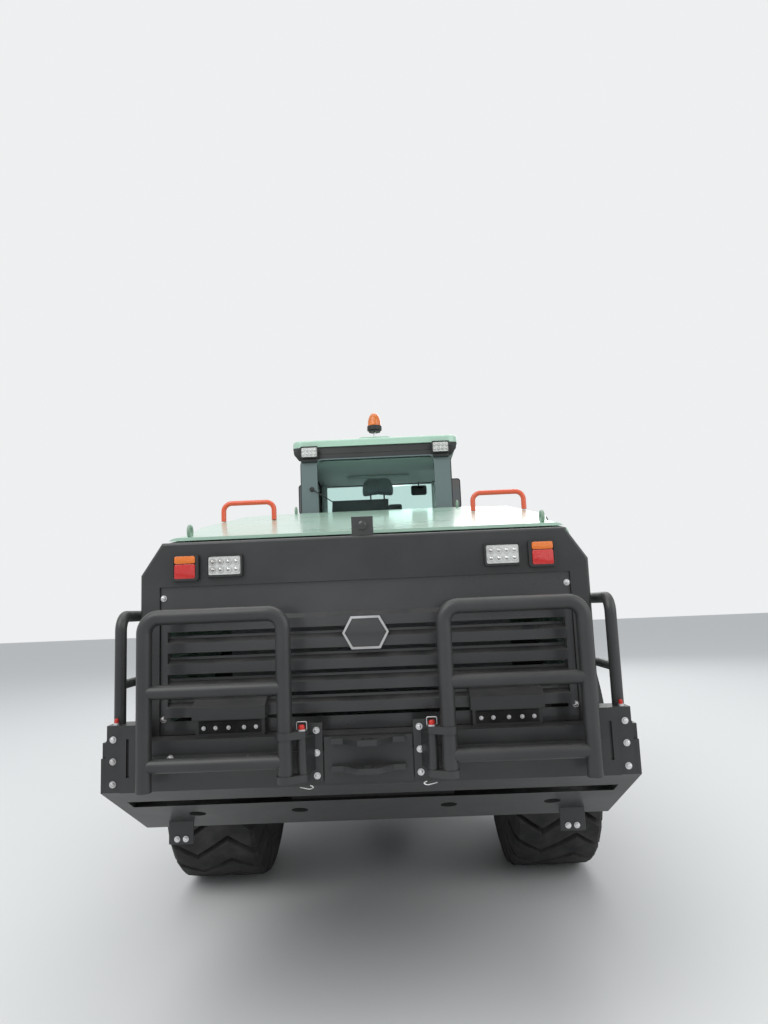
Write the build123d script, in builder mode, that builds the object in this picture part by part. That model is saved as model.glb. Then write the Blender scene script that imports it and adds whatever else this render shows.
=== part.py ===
from build123d import *
import os
from math import asin, cos, degrees, hypot, radians, sin

# Electric wheel loader, parked with the bucket flat on the ground.
# Millimetres. +X is the right side, +Y the travel direction, +Z up.
# The origin is on the ground under the steering pivot, which is midway between the axles.

# Wheels
WHEELBASE = 3300
TRACK_HALF = 1095
TYRE_R = 790
TYRE_W = 595
TREAD_W = 500
LUG_DEPTH = 52
LUG_ROOT = 60
LUG_COUNT = 24
LUG_HALF = 83
# A lug's centre line across the tread: x, distance along the tread
LUG_WAVE = ((-272, 56), (-107, -83), (107, 83), (272, -56))
LUG_SWING = 83
TYRE_FLATS = 24
CROWN_R = TYRE_R - LUG_DEPTH
BULGE_R = 600
WALL_R = 530
RIM_R = 330
RIM_W = 480
FLANGE_H = 30
HUB_R = 215
HUB_SEAT_R = 130
DISC_X = 50
FRONT_Y = WHEELBASE / 2
REAR_Y = -WHEELBASE / 2

# Steering pivot and its cylinders
PIVOT_PIN_R = 50
PIVOT_GAP = 0.5
STEER_BASE = (450, -700)
STEER_EYE = (330, 330)
STEER_Z = 760
EYE_POCKET = 80
STEER_BARREL_R = 48
STEER_ROD_R = 26
STEER_BARREL_L = 640

# Rear frame
RAIL_IN = 320
RAIL_T = 35
DECK_Z = 1180
DECK_T = 20
RAIL_FRONT = -600
RAIL_REAR = -3800
DECK_HALF = 520
FORK_LOW = 440
FORK_LEVELS = ((440, 480), (560, 600), (985, 1025), (1105, 1145))
PIVOT_PINS = ((425, 615), (970, 1160))
PIVOT_LUGS = ((485, 555), (1030, 1100))
PIVOT_EYE_R = 110
STEER_EARS = ((685, 705), (815, 835))
STEER_PIN_R = 28
CAB_BEAM_IN = 520

# Axles and drive
AXLE_HALF = 1080
AXLE_TUBE_R = 120
BRAKE_R = 200
DIFF_R = 235
DIFF_L = 470
TRUNNION_R = 115
TRUNNION_L = 660
TRUNNION_T = 55
SHAFT_R = 45
SHAFT_Z = 690
PIVOT_CLEAR = 170
DRIVE_Y = (-1180, -700)
BATTERY_HALF = 700
BATTERY_Y = (-3400, -1450)
BATTERY_TOP = 2000

# Front frame
FRONT_IN = 300
FRONT_T = 35
FRONT_BELLY = 960
FRONT_WALL_Y = 420
FRONT_OUT = 550
OUTER_T = 30

# Counterweight
CW_HALF = 1090
CW_REAR = -4050
CW_TOP = 1305
CW_EDGE_LOW = 1110
CW_FOOT_Y = -3505
CW_FOOT_Z = 820
CW_FRONT = -2650
CW_FLOOR_Z = 1000
CW_HOLE_R = 37.5
CW_HOLES_X = (332, 791)
CW_HOLE_DEPTH = 50

# Hood and cowl
COWL_REAR = -3920
COWL_DEPTH = 300
COWL_HALF = 980
COWL_TOP = 2130
COWL_CORNER = (887, 1990)
COWL_T = 20
HOOD_HALF = COWL_HALF + 120
HOOD_FRONT_Y = -1150
HOOD_FRONT_Z = 2620
HOOD_T = 15
GRILLE_HALF = 895
GRILLE_TOP = 1935
LOUVRE_Z = (1430, 1520, 1610, 1700, 1790)
LOUVRE_HALF = GRILLE_HALF - 35
LOUVRE_REACH = 12
LAMP_Z = COWL_TOP - 113
TAIL_LAMP_X = COWL_HALF - 200
WORK_LAMP_X = COWL_HALF - 373
HOOD_NOSE_HALF = 760
HOOD_ROUND = 70
HOOD_SILL = 1560
ARCH_R = 868
LIFT_EYES = ((865, -3560), (660, -1260))
MUDGUARD_R = 868
MUDGUARD_T = 12
MUDGUARD_OUT = 1400
FRONT_GUARD_IN = 780
RAIL_BAR_Y = -2150
SIDES = (("left", -1), ("right", 1))

# Tow coupling
JAW_LEVELS = (1169, 1276)
JAW_T = 22
TOW_HALF = 178
TOW_Z = (1122, 1300)
TOW_PIN_R = 25

# Charging boxes on the counterweight
BOX_X = 580
BOX_HALF = 153
BOX_FACE_Y = -4000
BOX_FACE_Z = (1376, 1427)
BOX_TOP = 1458

# Guards
GUARD_BARS = (1228, 1510)
GUARD_LUGS = (1147, 1312)
LUG_T = 28
HINGE_LOW = GUARD_LUGS[0] + LUG_T + 1
HINGE_HIGH = GUARD_LUGS[1] - 1
HINGE_PIN_R = 11
GUARD_BEND = 62
BRACKET_X = (184, 238)
BRACKET_Z = (1130, 1357)
SIDE_BRACKET_X = (930, 1005, 1066)
SIDE_BRACKET_Z = (1113, 1376)
SIDE_SLOT_Z = (1172, 1323)
SIDE_FRONT = -3300
GUARD_Y = -4150
TUBE_R = 31
GUARD_OUT = 880
GUARD_IN = 322
GUARD_TOP = 1805
HINGE_X = 258
HINGE_Y = -4130
SIDE_X = 1032
SIDE_Y = -4000
SIDE_TUBE_R = 24
SIDE_TOP = 1816
SIDE_BAR = 1530
SIDE_PIN_R = 14

# Cab
CAB_HALF = 648
CAB_REAR = -1050
CAB_FRONT = 300
CAB_FLOOR = 1620
CAB_LOW = 1400
WINDOW_LOW = 2130
WINDOW_TOP = 3075
CAB_HEAD = WINDOW_TOP + 65
CAB_ROOF = CAB_HEAD + 122
ROOF_HALF = CAB_HALF + 64
ROOF_T = 62
BEACON_PAD = 22
CAB_WALL = 50
CAB_HEAD_FRONT = 330
STEP_IN = 600
STEP_OUT = 1250
STEP_Y = (-820, -180)
STEP_Z = (540, 790, 1040)
WINDOW_SPANS = ((-980, -680), (-560, 190))
REAR_GLASS = 500
REAR_GLASS_Z = (2400, WINDOW_TOP + 15)
FRONT_GLASS = CAB_HALF - 90
SEAT_Z = 2080
BEACON_Y = -900
MIRROR_Y = 250
MIRROR_X = (CAB_HALF + 55, CAB_HALF + 190)
DOOR_GAP = 6
DOOR_FRAME = 70
DOOR_PIN_R = 14
DOOR_PIN_X = CAB_HALF + DOOR_PIN_R + 0.4
DOOR_PIN_Y = -618
DOOR_REAR = -620
DOOR_FRONT = 190

# Loader linkage, as (y, z) pins with the bucket on the ground
BOOM_PIN = (980, 2100)
BUCKET_PIN = (2920, 300)
BELL_PIN = (1950, 1400)
BELL_LOW = (2290, 550)
BELL_TOP = (2020, 1980)
LINK_PIN = (3153, 533)
TILT_PIN = (1020, 1930)
LIFT_BASE = (530, 930)
LIFT_EYE = (1660, 1360)
ARM_IN = 485
ARM_T = 55
LIFT_X = 410
CROSS_TUBE = (1770, 1170)
CROSS_R = 105

ARM_TOP = ((930, 2220), (1060, 2225), (1500, 2010), (1980, 1640), (2420, 1160), (2760, 700), (3010, 390))
ARM_BOTTOM = (
    (2830, 210), (2480, 560), (2180, 840), (1900, 1045), (1670, 1050), (1560, 1290), (1270, 1730), (880, 2010),
)
BELL_HALF = 150
BELL_PIN_R = 45
BELL_HEAD_R = 80
BUCKET_PIN_R = 42
BUCKET_HEAD_R = 84
LINK_HALF = 60
LINK_PIN_R = 38
LINK_HEAD_R = 66
EAR_T = 32
EAR_GAP = 10
BRACKET_GAP = 8
HEAD_T = 24
HEAD_GAP = 1
TILT_EYE = 75
TILT_BARREL_R = 78
TILT_BARREL_L = 700
TILT_ROD_R = 45
TILT_ROD_BACK = 330
LIFT_BARREL_R = 65
LIFT_BARREL_L = 1112
LIFT_ROD_R = 38
LIFT_PIN_R = 36
LIFT_ROD_BACK = 94
STEER_ROD_BACK = 320
STEER_EYE_EARS = ((690, 714), (806, 830))
FRONT_NOSE = 1800

# Bucket
BUCKET_HALF = 1500
BUCKET_T = 28
HEEL_MID = (3500, 250)
HEEL_R = 250
BACK_MID = (3272, 640)
BACK_TOP = (3360, 1000)
SPILL_Y = 3480
BUCKET_LIP = 4250
EDGE_BACK = BUCKET_LIP - 250
EDGE_T = 35
BUCKET_TOP = 1280

PIN_GAP = 0.5
SEAT_GAP = 0.3
BEAD_X = RIM_W / 2 - SEAT_GAP

os.makedirs("parts", exist_ok=True)


def block(x, y, z, mode=Mode.ADD):
    """Box between a low and a high value on each axis."""
    with Locations(((x[0] + x[1]) / 2, (y[0] + y[1]) / 2, (z[0] + z[1]) / 2)):
        Box(x[1] - x[0], y[1] - y[0], z[1] - z[0], mode=mode)


def yz_plate(points, x_low, x_high, holes=(), mode=Mode.ADD):
    """Plate between two X faces. Outline as (y, z) points, holes as (y, z, radius)."""
    with BuildSketch(Plane.YZ.offset(x_low)) as outline:
        with BuildLine():
            Polyline(*points, close=True)
        make_face()
        for y, z, radius in holes:
            with Locations((y, z)):
                Circle(radius, mode=Mode.SUBTRACT)
    extrude(outline.sketch, amount=x_high - x_low, dir=(1, 0, 0), mode=mode)


def xy_plate(points, z_low, z_high, holes=(), mode=Mode.ADD):
    """Plate between two Z faces. Outline as (x, y) points, holes as (x, y, radius)."""
    with BuildSketch(Plane.XY.offset(z_low)) as outline:
        with BuildLine():
            Polyline(*points, close=True)
        make_face()
        for x, y, radius in holes:
            with Locations((x, y)):
                Circle(radius, mode=Mode.SUBTRACT)
    extrude(outline.sketch, amount=z_high - z_low, dir=(0, 0, 1), mode=mode)


def xz_plate(points, y_low, y_high, holes=(), mode=Mode.ADD):
    """Plate between two Y faces. Outline as (x, z) points, holes as (x, z, radius)."""
    plane = Plane(origin=(0, y_low, 0), x_dir=(1, 0, 0), z_dir=(0, -1, 0))
    with BuildSketch(plane) as outline:
        with BuildLine():
            Polyline(*points, close=True)
        make_face()
        for x, z, radius in holes:
            with Locations((x, z)):
                Circle(radius, mode=Mode.SUBTRACT)
    extrude(outline.sketch, amount=y_high - y_low, dir=(0, 1, 0), mode=mode)


def bar(start, end, radius, mode=Mode.ADD):
    """Round bar between two points."""
    run = Vector(*end) - Vector(*start)
    with BuildSketch(Plane(origin=start, z_dir=run)) as section:
        Circle(radius)
    extrude(section.sketch, amount=run.length, dir=run.normalized(), mode=mode)


def x_bar(pin, radius, x_low, x_high, mode=Mode.ADD):
    """Round bar along X through a (y, z) point."""
    bar((x_low, pin[0], pin[1]), (x_high, pin[0], pin[1]), radius, mode)


def headed_pin(pin, radius, head, x_low, x_high):
    """Round pin along X with a round keeper plate past each end of what it holds."""
    x_bar(pin, radius, x_low - HEAD_GAP, x_high + HEAD_GAP)
    x_bar(pin, head, x_low - HEAD_GAP - HEAD_T, x_low - HEAD_GAP)
    x_bar(pin, head, x_high + HEAD_GAP, x_high + HEAD_GAP + HEAD_T)


def bent_tube(points, bend, radius):
    """Solid round tube outline swept along straight runs with bends of one radius."""
    with BuildLine() as path:
        FilletPolyline(*points, radius=bend)
    with BuildSketch(Plane(origin=path.line @ 0, z_dir=path.line % 0)) as section:
        Circle(radius)
    sweep(section.sketch, path=path.line)


def eye_plate(pins, radii, x_low, x_high, mode=Mode.ADD):
    """Plate along X whose outline is the hull of circles round (y, z) pins."""
    with BuildSketch(Plane.YZ.offset(x_low)) as outline:
        for pin, radius in zip(pins, radii):
            with Locations(pin):
                Circle(radius)
        make_hull()
    extrude(outline.sketch, amount=x_high - x_low, dir=(1, 0, 0), mode=mode)


def mudguard(axle_y, x_low, x_high, start, end):
    """Curved sheet round a wheel, between two angles measured from straight ahead."""
    inner, outer = MUDGUARD_R, MUDGUARD_R + MUDGUARD_T
    first, middle, last = (radians(angle) for angle in (start, (start + end) / 2, end))
    with BuildSketch(Plane.YZ.offset(x_low)) as arch:
        with BuildLine():
            ThreePointArc(*[(axle_y + outer * cos(a), TYRE_R + outer * sin(a)) for a in (first, middle, last)])
            ThreePointArc(*[(axle_y + inner * cos(a), TYRE_R + inner * sin(a)) for a in (first, middle, last)])
            for a in (first, last):
                Line(
                    (axle_y + inner * cos(a), TYRE_R + inner * sin(a)),
                    (axle_y + outer * cos(a), TYRE_R + outer * sin(a)),
                )
        make_face()
    extrude(arch.sketch, amount=x_high - x_low, dir=(1, 0, 0))


def cab_outline(inset):
    """Side outline of the cab box, inset by a wall."""
    return (
        (CAB_REAR + inset, CAB_LOW if inset == 0 else CAB_FLOOR), (CAB_REAR + inset, CAB_HEAD - inset),
        (CAB_FRONT - inset, CAB_HEAD - inset), (CAB_FRONT - inset, CAB_LOW if inset == 0 else CAB_FLOOR),
    )


def bucket_line(inset, floor_end):
    """Bucket profile from the floor up the back to the spill edge, moved inward by inset."""
    radius = HEEL_R - inset
    corner = radius * sin(radians(45))
    Line((floor_end, inset), (HEEL_MID[0], inset))
    ThreePointArc(
        (HEEL_MID[0], inset), (HEEL_MID[0] - corner, HEEL_MID[1] - corner),
        (HEEL_MID[0] - radius, HEEL_MID[1]),
    )
    ThreePointArc(
        (HEEL_MID[0] - radius, HEEL_MID[1]), (BACK_MID[0] + inset, BACK_MID[1]),
        (BACK_TOP[0] + inset, BACK_TOP[1]),
    )
    Line((BACK_TOP[0] + inset, BACK_TOP[1]), (SPILL_Y + inset, BUCKET_TOP))


def mirrored(low, high):
    """The same X span on the left and on the right."""
    return ((-high, -low), (low, high))


def along(start, end, distance):
    """Point at a distance from start towards end."""
    run = Vector(*end) - Vector(*start)
    point = Vector(*start) + run.normalized() * distance
    return (point.X, point.Y, point.Z)


def finish(builder, label):
    """Name a finished piece and write its file."""
    builder.part.label = label
    export_step(builder.part, f"parts/{label}.step")


# Tyre and rim, made once at the origin with the outside at +X

with BuildPart() as tyre_shape:
    for x, radius in (
        (-TYRE_W / 2, BULGE_R), (-TREAD_W / 2, CROWN_R), (TREAD_W / 2, CROWN_R), (TYRE_W / 2, BULGE_R),
    ):
        with BuildSketch(Plane.YZ.offset(x)):
            RegularPolygon(radius, TYRE_FLATS)
    loft(ruled=True)
    lug_end = LUG_HALF + LUG_SWING
    lug_top = (TYRE_R**2 - lug_end**2) ** 0.5
    first_turn = 360 / LUG_COUNT - degrees(asin(lug_end / TYRE_R))
    for turn in range(LUG_COUNT):
        angle = radians(first_turn + turn * 360 / LUG_COUNT)
        outward = (0, -sin(angle), cos(angle))
        foot = (0, outward[1] * (CROWN_R - LUG_ROOT), outward[2] * (CROWN_R - LUG_ROOT))
        with BuildSketch(Plane(origin=foot, x_dir=(1, 0, 0), z_dir=outward)) as lug:
            with BuildLine():
                ahead = [(x, y + LUG_HALF) for x, y in LUG_WAVE]
                behind = [(x, y - LUG_HALF) for x, y in reversed(LUG_WAVE)]
                Polyline(*ahead, *behind, close=True)
            make_face()
        extrude(lug.sketch, amount=lug_top - CROWN_R + LUG_ROOT)
    with BuildPart(mode=Mode.INTERSECT):
        for x, radius in (
            (-TYRE_W / 2, BULGE_R + 50), (-TREAD_W / 2, TYRE_R + 10), (TREAD_W / 2, TYRE_R + 10),
            (TYRE_W / 2, BULGE_R + 50),
        ):
            with BuildSketch(Plane.YZ.offset(x)):
                RegularPolygon(radius, TYRE_FLATS)
        loft(ruled=True)
    flat_ratio = cos(radians(180 / TYRE_FLATS))
    bore_r = (RIM_R + SEAT_GAP) / flat_ratio
    bead_r = (RIM_R + FLANGE_H + 4) / flat_ratio
    for side in (-1, 1):
        with BuildPart(mode=Mode.SUBTRACT):
            for x, radius in ((BEAD_X, bead_r), (TYRE_W / 2, WALL_R)):
                with BuildSketch(Plane.YZ.offset(side * x)):
                    RegularPolygon(radius, TYRE_FLATS)
            loft(ruled=True)
    with BuildSketch(Plane.YZ.offset(-TYRE_W / 2)) as bore:
        RegularPolygon(bore_r, TYRE_FLATS)
    extrude(bore.sketch, amount=TYRE_W, mode=Mode.SUBTRACT)

with BuildPart() as rim_shape:
    with BuildSketch(Plane.XY) as rim_half:
        with BuildLine():
            Polyline(
                (-RIM_W / 2 - 12, RIM_R - 14), (-RIM_W / 2 - 12, RIM_R + FLANGE_H), (-RIM_W / 2, RIM_R + FLANGE_H),
                (-RIM_W / 2, RIM_R), (RIM_W / 2, RIM_R), (RIM_W / 2, RIM_R + FLANGE_H),
                (RIM_W / 2 + 12, RIM_R + FLANGE_H), (RIM_W / 2 + 12, RIM_R - 14), (75, RIM_R - 14),
                (95, HUB_R), (175, HUB_R - 10), (188, HUB_R - 65), (215, HUB_R - 85), (215, 0),
                (DISC_X, 0), (DISC_X, HUB_R), (DISC_X - 15, RIM_R - 14),
                close=True,
            )
        make_face()
    revolve(rim_half.sketch, axis=Axis.X)

# Columns: name, side of the machine, axle
WHEELS = (
    ("front_left", -1, FRONT_Y),
    ("front_right", 1, FRONT_Y),
    ("rear_left", -1, REAR_Y),
    ("rear_right", 1, REAR_Y),
)

for name, side, axle_y in WHEELS:
    hub = Location((side * TRACK_HALF, axle_y, TYRE_R), (0, 0, 0 if side > 0 else 180))
    with BuildPart() as tyre:
        with Locations(hub):
            add(tyre_shape.part)
    finish(tyre, f"tyre_{name}")
    with BuildPart() as rim:
        with Locations(hub):
            add(rim_shape.part)
    finish(rim, f"rim_{name}")

# Axles

for name, axle_y in (("rear_axle", REAR_Y), ("front_axle", FRONT_Y)):
    with BuildPart() as axle:
        bar((-AXLE_HALF, axle_y, TYRE_R), (AXLE_HALF, axle_y, TYRE_R), AXLE_TUBE_R)
        bar((0, axle_y - DIFF_L / 2, TYRE_R), (0, axle_y + DIFF_L / 2, TYRE_R), DIFF_R)
        for low, high in mirrored(TRACK_HALF - RIM_W / 2 - 60, TRACK_HALF + DISC_X - 15):
            x_bar((axle_y, TYRE_R), BRAKE_R, low, high)
        for low, high in mirrored(TRACK_HALF, TRACK_HALF + DISC_X - SEAT_GAP):
            x_bar((axle_y, TYRE_R), HUB_SEAT_R, low, high)
        if axle_y < 0:
            bar((0, axle_y - TRUNNION_L / 2, TYRE_R), (0, axle_y + TRUNNION_L / 2, TYRE_R), TRUNNION_R)
            bar((0, axle_y, TYRE_R), (0, DRIVE_Y[0], TYRE_R), SHAFT_R)
        else:
            bar((0, axle_y, TYRE_R), (0, PIVOT_CLEAR, SHAFT_Z), SHAFT_R)
            for low, high in mirrored(FRONT_IN, FRONT_IN + FRONT_T + 90):
                block((low, high), (axle_y - 110, axle_y + 110), (TYRE_R, FRONT_BELLY))
    finish(axle, name)

# Rear frame: two rails, the deck, cross plates, the axle cradle and the pivot forks

with BuildPart() as rear_frame:
    for low, high in mirrored(RAIL_IN, RAIL_IN + RAIL_T):
        yz_plate(
            (
                (RAIL_FRONT, FORK_LOW), (RAIL_FRONT, DECK_Z), (RAIL_REAR, DECK_Z), (RAIL_REAR, CW_FLOOR_Z),
                (CW_FRONT, CW_FLOOR_Z), (CW_FRONT + 60, 760), (REAR_Y - 350, 760), (REAR_Y - 280, CW_FLOOR_Z),
                (REAR_Y + 280, CW_FLOOR_Z), (REAR_Y + 350, 700), (RAIL_FRONT - 450, FORK_LOW),
            ),
            low, high,
        )
    block((-DECK_HALF, DECK_HALF), (RAIL_REAR, RAIL_FRONT), (DECK_Z, DECK_Z + DECK_T))
    block((-RAIL_IN, RAIL_IN), (RAIL_FRONT - 25, RAIL_FRONT), (FORK_LOW, DECK_Z))
    block((-RAIL_IN, RAIL_IN), (RAIL_REAR, RAIL_REAR + 25), (CW_FLOOR_Z, DECK_Z))
    for plate_y in (REAR_Y - TRUNNION_L / 2, REAR_Y + TRUNNION_L / 2 - TRUNNION_T):
        xz_plate(
            ((-RAIL_IN, DECK_Z), (-RAIL_IN, 950), (-190, 620), (190, 620), (RAIL_IN, 950), (RAIL_IN, DECK_Z)),
            plate_y, plate_y + TRUNNION_T,
            holes=((0, TYRE_R, TRUNNION_R + PIN_GAP),),
        )
    block((-95, 95), (RAIL_FRONT - 30, RAIL_FRONT + 5), (SHAFT_Z - 95, SHAFT_Z + 95), mode=Mode.SUBTRACT)
    for low, high in FORK_LEVELS:
        xy_plate(
            (
                (-RAIL_IN - RAIL_T, RAIL_FRONT), (-PIVOT_EYE_R, -30), (-PIVOT_EYE_R * 0.7, PIVOT_EYE_R * 0.7),
                (0, PIVOT_EYE_R), (PIVOT_EYE_R * 0.7, PIVOT_EYE_R * 0.7), (PIVOT_EYE_R, -30),
                (RAIL_IN + RAIL_T, RAIL_FRONT),
            ),
            low, high,
        )
    for low, high in (PIVOT_PINS):
        bar((0, 0, low), (0, 0, high), PIVOT_PIN_R)
    for side in (-1, 1):
        for low, high in STEER_EARS:
            xy_plate(
                (
                    (side * (RAIL_IN + RAIL_T), STEER_BASE[1] - 90),
                    (side * (STEER_BASE[0] + 20), STEER_BASE[1] - 60),
                    (side * (STEER_BASE[0] + 60), STEER_BASE[1]),
                    (side * (STEER_BASE[0] + 20), STEER_BASE[1] + 60),
                    (side * (RAIL_IN + RAIL_T), STEER_BASE[1] + 90),
                ),
                low, high,
            )
        bar(
            (side * STEER_BASE[0], STEER_BASE[1], STEER_EARS[0][0]),
            (side * STEER_BASE[0], STEER_BASE[1], STEER_EARS[1][1]),
            STEER_PIN_R,
        )
    for low, high in mirrored(CAB_BEAM_IN, CAB_BEAM_IN + 80):
        block((low, high), (CAB_REAR, -10), (CAB_LOW - 90, CAB_LOW))
    for low, high in mirrored(DECK_HALF - 60, CAB_BEAM_IN + 80):
        block((low, high), (CAB_REAR, RAIL_FRONT), (DECK_Z + DECK_T, CAB_LOW - 90))
finish(rear_frame, "rear_frame")

with BuildPart() as battery_pack:
    block((-BATTERY_HALF, BATTERY_HALF), BATTERY_Y, (DECK_Z + DECK_T, BATTERY_TOP))
finish(battery_pack, "battery_pack")

with BuildPart() as drive_motor:
    block((-210, 210), DRIVE_Y, (TYRE_R - 160, DECK_Z))
    bar((0, DRIVE_Y[1], SHAFT_Z), (0, -PIVOT_CLEAR, SHAFT_Z), SHAFT_R)
finish(drive_motor, "drive_motor")

# Counterweight: a deep open tray with an undercut tail

with BuildPart() as counterweight:
    yz_plate(
        (
            (CW_REAR, CW_TOP - 60), (CW_REAR, CW_EDGE_LOW), (CW_FOOT_Y, CW_FOOT_Z),
            (CW_FRONT - 250, CW_FOOT_Z), (CW_FRONT, CW_FOOT_Z + 150), (CW_FRONT, CW_TOP),
            (CW_REAR + 15, CW_TOP), (CW_REAR + 15, CW_TOP - 60),
        ),
        -CW_HALF, CW_HALF,
    )
    block(
        (-CW_HALF + 60, CW_HALF - 60), (CW_REAR + 130, CW_FRONT + 10), (CW_FLOOR_Z, CW_TOP + 10),
        mode=Mode.SUBTRACT,
    )
    block((-340, 340), (CW_FRONT - 120, CW_FRONT + 10), (CW_FOOT_Z - 10, CW_FLOOR_Z + 1), mode=Mode.SUBTRACT)
    slope = Vector(0, CW_FOOT_Y - CW_REAR, CW_FOOT_Z - CW_EDGE_LOW)
    inward = Vector(0, -slope.Z, slope.Y).normalized()
    for x in CW_HOLES_X:
        for side in (-1, 1):
            mouth = Vector(side * x, CW_REAR, CW_EDGE_LOW) + slope * 0.62 - inward * 2
            bar(tuple(mouth), tuple(mouth + inward * CW_HOLE_DEPTH), CW_HOLE_R, mode=Mode.SUBTRACT)
finish(counterweight, "counterweight")

# Tow coupling: a panel, two jaws with a pin hole

with BuildPart() as tow_coupling:
    block((-TOW_HALF, TOW_HALF), (CW_REAR - 14, CW_REAR), TOW_Z)
    for level in JAW_LEVELS:
        xy_plate(
            (
                (-148, CW_REAR - 14), (-148, CW_REAR - 42), (-100, CW_REAR - 46), (-38, CW_REAR - 108),
                (38, CW_REAR - 108), (100, CW_REAR - 46), (148, CW_REAR - 42), (148, CW_REAR - 14),
            ),
            level, level + JAW_T,
            holes=((0, CW_REAR - 72, TOW_PIN_R),),
        )
finish(tow_coupling, "tow_coupling")

# Hood: a hollow shell that widens forward and rises to the cab


def hood_body(inset, low):
    """Hood volume, inset from the outer skin."""
    yz_plate(
        (
            (COWL_REAR + COWL_DEPTH, low), (COWL_REAR + COWL_DEPTH, COWL_TOP + hood_rise(COWL_DEPTH) - inset),
            (HOOD_FRONT_Y, HOOD_FRONT_Z - inset), (HOOD_FRONT_Y, low),
        ),
        -HOOD_HALF - 50, HOOD_HALF + 50,
    )
    widen_y = CW_FRONT
    xy_plate(
        (
            (-COWL_HALF + inset, COWL_REAR), (COWL_HALF - inset, COWL_REAR),
            (COWL_HALF - inset, SIDE_FRONT + 40),
            (HOOD_HALF - inset, widen_y), (HOOD_HALF - inset, HOOD_FRONT_Y - 200),
            (HOOD_NOSE_HALF - inset, HOOD_FRONT_Y - inset), (-HOOD_NOSE_HALF + inset, HOOD_FRONT_Y - inset),
            (-HOOD_HALF + inset, HOOD_FRONT_Y - 200), (-HOOD_HALF + inset, widen_y),
            (-COWL_HALF + inset, SIDE_FRONT + 40),
        ),
        low - 50, HOOD_FRONT_Z + 50,
        mode=Mode.INTERSECT,
    )


def hood_rise(distance):
    """How far the hood's top has risen at a distance ahead of the cowl's face."""
    return (HOOD_FRONT_Z - COWL_TOP) * distance / (HOOD_FRONT_Y - COWL_REAR)


with BuildPart() as hood_cavity:
    hood_body(HOOD_T, CW_TOP - 5)

with BuildPart() as hood:
    hood_body(0, CW_TOP)
    upper_edges = hood.edges().filter_by(lambda edge: edge.center().Z > COWL_TOP + 20)
    shoulders = upper_edges.filter_by(lambda edge: abs(edge.center().X) > 700)
    fillet(shoulders, radius=HOOD_ROUND)
    add(hood_cavity.part, mode=Mode.SUBTRACT)
    x_bar((REAR_Y, TYRE_R), ARCH_R, -HOOD_HALF - 60, HOOD_HALF + 60, mode=Mode.SUBTRACT)
    block(
        (-HOOD_HALF - 60, HOOD_HALF + 60), (REAR_Y, HOOD_FRONT_Y + 250), (CW_TOP - 50, HOOD_SILL),
        mode=Mode.SUBTRACT,
    )
    for eye_x, eye_y in LIFT_EYES:
        for side in (-1, 1):
            top = COWL_TOP + hood_rise(eye_y - COWL_REAR)
            with Locations(Location((side * eye_x, eye_y, top + 24), (0, 90, 0))):
                Torus(28, 8)
finish(hood, "hood")

# Cowl: hollow black tail panel with the grille opening and lamp seats

with BuildPart() as rear_cowl:
    outline = (
        (-COWL_HALF, CW_TOP), (-COWL_HALF, COWL_CORNER[1]), (-COWL_CORNER[0], COWL_TOP),
        (COWL_CORNER[0], COWL_TOP), (COWL_HALF, COWL_CORNER[1]), (COWL_HALF, CW_TOP),
    )
    inner = (
        (-COWL_HALF + COWL_T, CW_TOP - 5), (-COWL_HALF + COWL_T, COWL_CORNER[1] - COWL_T / 2),
        (-COWL_CORNER[0] + COWL_T / 2, COWL_TOP - COWL_T), (COWL_CORNER[0] - COWL_T / 2, COWL_TOP - COWL_T),
        (COWL_HALF - COWL_T, COWL_CORNER[1] - COWL_T / 2), (COWL_HALF - COWL_T, CW_TOP - 5),
    )
    xz_plate(outline, COWL_REAR, COWL_REAR + COWL_DEPTH)
    end_edges = rear_cowl.faces().sort_by(Axis.Y)[0].edges()
    rim_edges = end_edges.filter_by(lambda edge: edge.center().Z > CW_TOP + 5)
    fillet(rim_edges, radius=14)
    xz_plate(inner, COWL_REAR + COWL_T, COWL_REAR + COWL_DEPTH + 5, mode=Mode.SUBTRACT)
    block(
        (-GRILLE_HALF, GRILLE_HALF), (COWL_REAR - 5, COWL_REAR + 40), (CW_TOP - 5, GRILLE_TOP),
        mode=Mode.SUBTRACT,
    )
finish(rear_cowl, "rear_cowl")

# Louvre grille: one pressed panel with overhanging slats

with BuildPart() as louvre_grille:
    block(
        (-GRILLE_HALF + PIN_GAP, GRILLE_HALF - PIN_GAP), (COWL_REAR + 12, COWL_REAR + 18),
        (CW_TOP + SEAT_GAP, GRILLE_TOP - PIN_GAP),
    )
    for z in LOUVRE_Z:
        block(
            (-LOUVRE_HALF + 10, LOUVRE_HALF - 10), (COWL_REAR + 5, COWL_REAR + 25), (z - 68, z - 6),
            mode=Mode.SUBTRACT,
        )
    lip_y = COWL_REAR - LOUVRE_REACH
    for z in LOUVRE_Z:
        yz_plate(
            (
                (COWL_REAR + 15, z + 14), (lip_y, z - 8), (lip_y, z - 50),
                (lip_y + 5, z - 50), (lip_y + 5, z - 11), (COWL_REAR + 15, z + 5),
            ),
            -LOUVRE_HALF, LOUVRE_HALF,
        )
    for low, high in mirrored(LOUVRE_HALF - 4, LOUVRE_HALF + 12):
        block((low, high), (lip_y + 2, COWL_REAR + 14), (LOUVRE_Z[0] - 56, LOUVRE_Z[-1] + 16))
finish(louvre_grille, "louvre_grille")

# Lamps on the tail and the cab

with BuildPart() as tail_lamps:
    for side in (-1, 1):
        centre = side * TAIL_LAMP_X
        block((centre - 61, centre + 61), (COWL_REAR - 12, COWL_REAR), (LAMP_Z - 59, LAMP_Z + 59))
        block((centre - 45, centre + 45), (COWL_REAR - 20, COWL_REAR - 12), (LAMP_Z - 50, LAMP_Z + 50))
finish(tail_lamps, "tail_lamps")

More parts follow.
